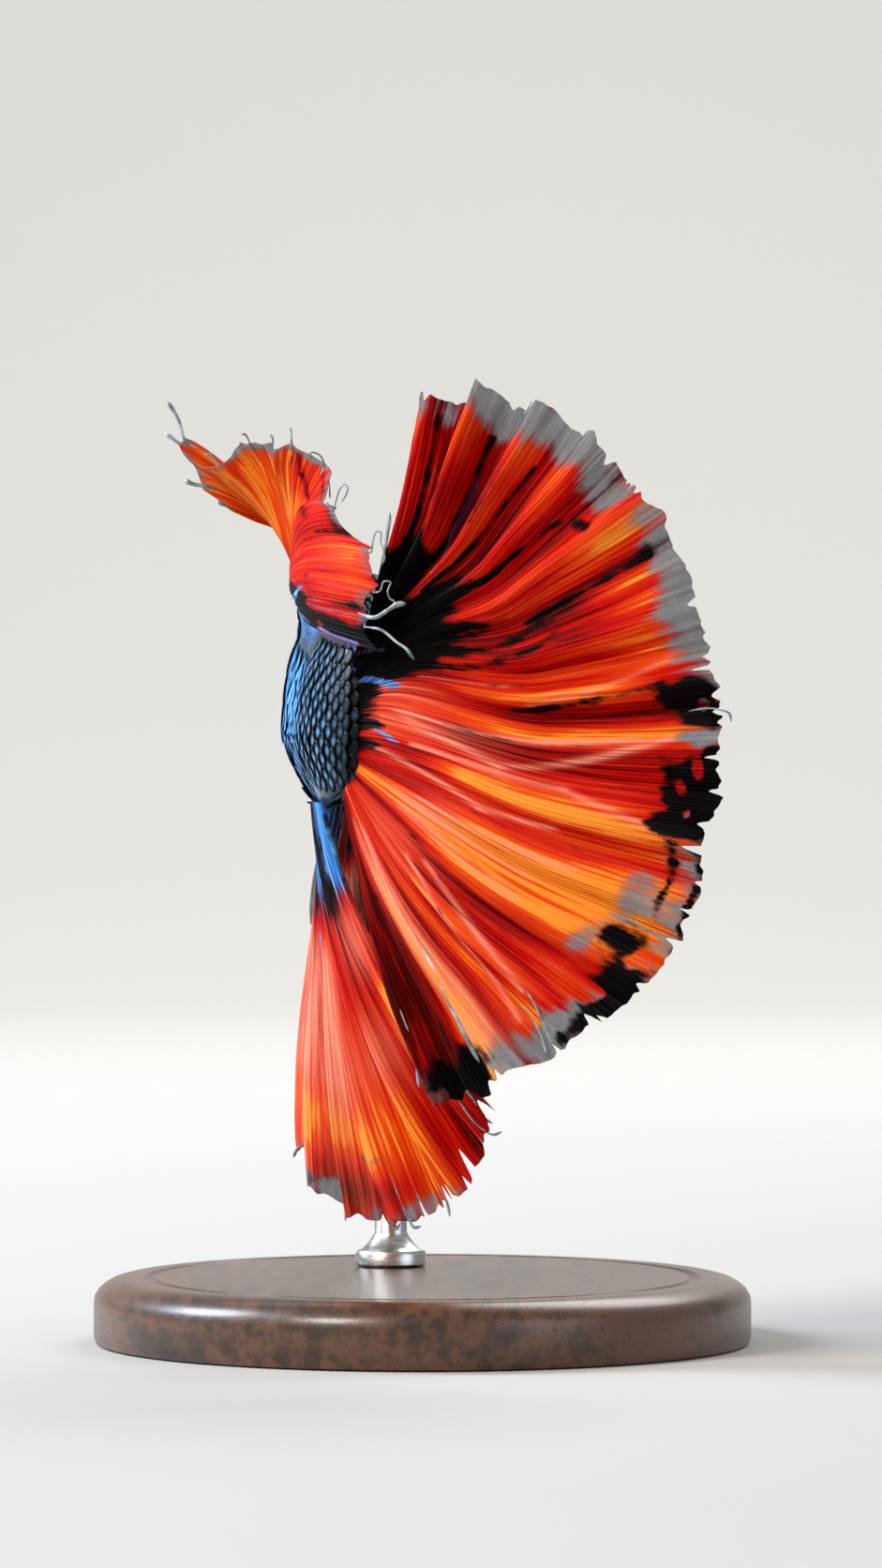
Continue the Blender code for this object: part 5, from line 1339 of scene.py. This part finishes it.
wetEye = eyeMaterial()
eyePiece("left", -1, wetEye)
eyePiece("right", 1, wetEye)
say("eyes")

# ---- stand

stand = {
    "rim": [(0.5, 0.0), (0.12, 0.12), (0.0, 0.45), (0.0, 2.5), (0.06, 2.9), (0.3, 3.3), (0.65, 3.6), (1.1, 3.85),
            (1.6, 3.98), (2.2, 4.0), (3.0, 4.0), (3.15, 3.82), (3.4, 3.74), (3.65, 3.82), (3.8, 4.0)],
    "grain": 0.9, "pore": 0.18, "brush": 0.12,
    "rodRadius": 1.0, "padRadius": 1.5, "collarRadius": 2.2,
}


def turned(name, centre, half, profile, around, sharpAt):
    # a closed turned piece; profile runs (inset from the rim, height) from the underside up to the top
    angle = np.arange(around) * 2 * math.pi / around
    rings = [np.stack([centre[0] + (half[0] - inset) * np.cos(angle), centre[1] + (half[1] - inset) * np.sin(angle),
                       np.full(around, z)], axis=1) for inset, z in profile]
    n = len(rings)
    grid = np.arange(n * around).reshape(n, around)
    after = np.roll(grid, -1, axis=1)
    quads = np.stack([grid[:-1], after[:-1], after[1:], grid[1:]], axis=-1).reshape(-1, 4)
    middle = [(centre[0], centre[1], profile[0][1]), (centre[0], centre[1], profile[-1][1])]
    last = n * around
    triangles = [(last, (k + 1) % around, k) for k in range(around)]
    triangles += [(last + 1, last - around + k, last - around + (k + 1) % around) for k in range(around)]
    made = meshPiece(name, np.concatenate(rings + [middle]), quads, triangles)
    made.data.set_sharp_from_angle(angle=math.radians(sharpAt))
    return made


def woodMaterial():
    # walnut, stained dark and wiped with satin lacquer: long grain along the base, small open pores
    made, tree = newMaterial("satinDarkWalnut")
    where = addNode(tree, "ShaderNodeTexCoord").outputs["Object"]
    drawn = addNode(tree, "ShaderNodeMapping", {"vector_type": "POINT"}, {
        "Vector": where, "Scale": (1.0, 0.09, 1.0)}).outputs["Vector"]
    warp = addNode(tree, "ShaderNodeTexNoise", None, {
        "Vector": drawn, "Scale": 1 / (9.0 * mm), "Detail": 3.0, "Distortion": 0.6}).outputs["Fac"]
    grain = addNode(tree, "ShaderNodeTexNoise", None, {
        "Vector": drawn, "Scale": 1 / (stand["grain"] * mm), "Detail": 5.0, "Roughness": 0.6}).outputs["Fac"]
    pore = addNode(tree, "ShaderNodeTexNoise", None, {
        "Vector": drawn, "Scale": 1 / (stand["pore"] * mm), "Detail": 2.0}).outputs["Fac"]
    bands = addNode(tree, "ShaderNodeMath", {"operation": "MULTIPLY_ADD"}, {0: warp, 1: 0.9, 2: grain}).outputs[0]
    tone = setRamp(addNode(tree, "ShaderNodeValToRGB", None, {"Fac": bands}), [
        (0.62, "#1C110B"), (0.85, "#3A2415"), (1.0, "#563621")]).outputs["Color"]
    open_ = addNode(tree, "ShaderNodeMapRange", {"interpolation_type": "SMOOTHSTEP"}, {
        "Value": pore, "From Min": 0.6, "From Max": 0.7, "To Max": 0.75}).outputs["Result"]
    colour = addNode(tree, "ShaderNodeMix", {"data_type": "RGBA"}, {
        0: open_, 6: tone, 7: linear("#0D0805")}).outputs[2]
    dent = addNode(tree, "ShaderNodeMath", {"operation": "SUBTRACT"}, {0: grain, 1: open_}).outputs[0]
    bump = addNode(tree, "ShaderNodeBump", None, {
        "Height": dent, "Strength": 0.25, "Distance": 0.05 * mm}).outputs["Normal"]
    shader = addNode(tree, "ShaderNodeBsdfPrincipled", None, {
        "Base Color": colour, "Roughness": 0.38, "IOR": 1.5, "Normal": bump, "Coat Weight": 0.25,
        "Coat Roughness": 0.2}).outputs["BSDF"]
    addNode(tree, "ShaderNodeOutputMaterial", None, {"Surface": shader})
    return made


def steelMaterial():
    # stainless steel rod, brushed round: fine rings that spread its highlights
    made, tree = newMaterial("brushedStainlessSteel")
    where = addNode(tree, "ShaderNodeTexCoord").outputs["Object"]
    drawn = addNode(tree, "ShaderNodeMapping", {"vector_type": "POINT"}, {
        "Vector": where, "Scale": (0.15, 0.15, 1.0)}).outputs["Vector"]
    brush = addNode(tree, "ShaderNodeTexNoise", None, {
        "Vector": drawn, "Scale": 1 / (stand["brush"] * mm), "Detail": 3.0}).outputs["Fac"]
    tone = setRamp(addNode(tree, "ShaderNodeValToRGB", None, {"Fac": brush}), [
        (0.3, "#A9A8A4"), (0.7, "#D2D0CB")]).outputs["Color"]
    rough = addNode(tree, "ShaderNodeMapRange", None, {
        "Value": brush, "To Min": 0.22, "To Max": 0.4}).outputs["Result"]
    bump = addNode(tree, "ShaderNodeBump", None, {
        "Height": brush, "Strength": 0.2, "Distance": 0.02 * mm}).outputs["Normal"]
    shader = addNode(tree, "ShaderNodeBsdfPrincipled", None, {
        "Base Color": tone, "Metallic": 1.0, "Roughness": rough, "Normal": bump}).outputs["BSDF"]
    addNode(tree, "ShaderNodeOutputMaterial", None, {"Surface": shader})
    return made


def buildStand():
    low, high = (np.array(corner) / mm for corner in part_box("stand_base"))
    middle, half = (low + high)[:2] / 2, (high - low)[:2] / 2
    base = turned("stand_plinth", middle, half, stand["rim"], 160, 40)
    finishPiece(base, woodMaterial(), ["stand_base"])
    low, high = (np.array(corner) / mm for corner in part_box("stand_rod"))
    middle, collar = (low + high)[:2] / 2, stand["collarRadius"]
    rod, pad = collar - stand["rodRadius"], collar - stand["padRadius"]
    z0, z1 = low[2], high[2]
    profile = [(0.15, z0), (0.0, z0 + 0.15), (0.0, z0 + 0.8), (0.12, z0 + 0.98), (0.35, z0 + 1.05), (0.6, z0 + 1.25),
               (rod - 0.2, z0 + 1.75), (rod, z0 + 2.1), (rod, z1 - 1.8), (rod - 0.1, z1 - 1.35), (pad, z1 - 0.8),
               (pad, z1 - 0.08), (pad + 0.08, z1)]
    post = turned("stand_post", middle, (collar, collar), profile, 64, 35)
    finishPiece(post, steelMaterial(), ["stand_rod"])


buildStand()
say("stand")

# ---- floor, light and camera

studio = {
    "floor": "#B4B2AE", "sky": 0.42,
    # (name, place, aimed at, size, watts, colour)
    "lamps": [("key", (-0.42, -0.42, 0.42), (0.0, -0.01, 0.035), 0.25, 5.2, "#FFF6EC"),
              ("fill", (0.55, -0.4, 0.2), (0.0, -0.01, 0.035), 0.5, 1.2, "#EAF2FF"),
              ("flank", (-0.46, 0.14, 0.3), (-0.005, 0.0, 0.038), 0.25, 4.2, "#DCEBFF"),
              ("backdrop", (0.0, 0.7, 0.75), (0.0, 1.3, 0.1), 0.9, 9.5, "#FFFFFF"),
              ("behind", (0.25, 0.45, 0.5), (0.0, -0.01, 0.035), 0.4, 2.0, "#FFFFFF")],
    "eye": (1.1275, -519.0, 33.97), "frameHeight": 91.96, "distance": 500.0, "sensor": 36.0,
}


def buildStage():
    # floor that curves up into a backdrop
    x = np.linspace(-1.6, 1.6, 9)
    lean = np.clip((np.arange(60) - 14) / 36, 0, 1) * math.pi / 2
    y = np.interp(np.arange(60), [0, 14], [-1.3, 0.75]) + 0.9 * np.sin(lean)
    z = 0.9 * (1 - np.cos(lean)) + np.maximum(np.arange(60) - 50, 0) * 0.06
    grid = np.stack([np.repeat(x, 60), np.tile(y, 9), np.tile(z, 9)], axis=1) / mm
    a = (np.arange(8)[:, None] * 60 + np.arange(59)[None, :]).ravel()
    made = meshPiece("studio_floor", grid, np.stack([a, a + 60, a + 61, a + 1], axis=1))
    paper, tree = newMaterial("paleStudioPaper")
    where = addNode(tree, "ShaderNodeTexCoord").outputs["Object"]
    fibre = addNode(tree, "ShaderNodeTexNoise", None, {"Vector": where, "Scale": 900.0, "Detail": 3.0}).outputs["Fac"]
    bump = addNode(tree, "ShaderNodeBump", None, {"Height": fibre, "Strength": 0.08, "Distance": 0.1 * mm}).outputs["Normal"]
    shader = addNode(tree, "ShaderNodeBsdfPrincipled", None, {
        "Base Color": linear(studio["floor"]), "Roughness": 0.85, "Normal": bump}).outputs["BSDF"]
    addNode(tree, "ShaderNodeOutputMaterial", None, {"Surface": shader})
    made.data.materials.append(paper)


def buildLight():
    for name, at, aim, size, watts, colour in studio["lamps"]:
        lamp = bpy.data.lights.new(name, "AREA")
        lamp.shape, lamp.size, lamp.energy, lamp.color = "DISK", size, watts, linear(colour)[:3]
        made = bpy.data.objects.new(name, lamp)
        made.location = at
        made.rotation_euler = (Vector(aim) - Vector(at)).to_track_quat("-Z", "Y").to_euler()
        bpy.context.scene.collection.objects.link(made)
    world = bpy.data.worlds.new("studio")
    world.use_nodes = True
    world.node_tree.nodes["Background"].inputs["Color"].default_value = linear("#F2F4F7")
    world.node_tree.nodes["Background"].inputs["Strength"].default_value = studio["sky"]
    bpy.context.scene.world = world


def buildCamera():
    lens = bpy.data.cameras.new("camera")
    lens.sensor_fit = "VERTICAL"
    lens.sensor_height = studio["sensor"]
    lens.lens = studio["sensor"] * studio["distance"] / studio["frameHeight"]
    lens.clip_start = 0.01
    camera = bpy.data.objects.new("camera", lens)
    camera.location = Vector(studio["eye"]) * mm
    camera.rotation_euler = Euler((math.pi / 2, 0, 0))
    bpy.context.scene.collection.objects.link(camera)
    bpy.context.scene.camera = camera
    bpy.context.scene.view_settings.view_transform = "Standard"  # keeps the reds as strong as the hex values


buildStage()
buildLight()
buildCamera()
say("studio")

bpy.context.view_layer.update()
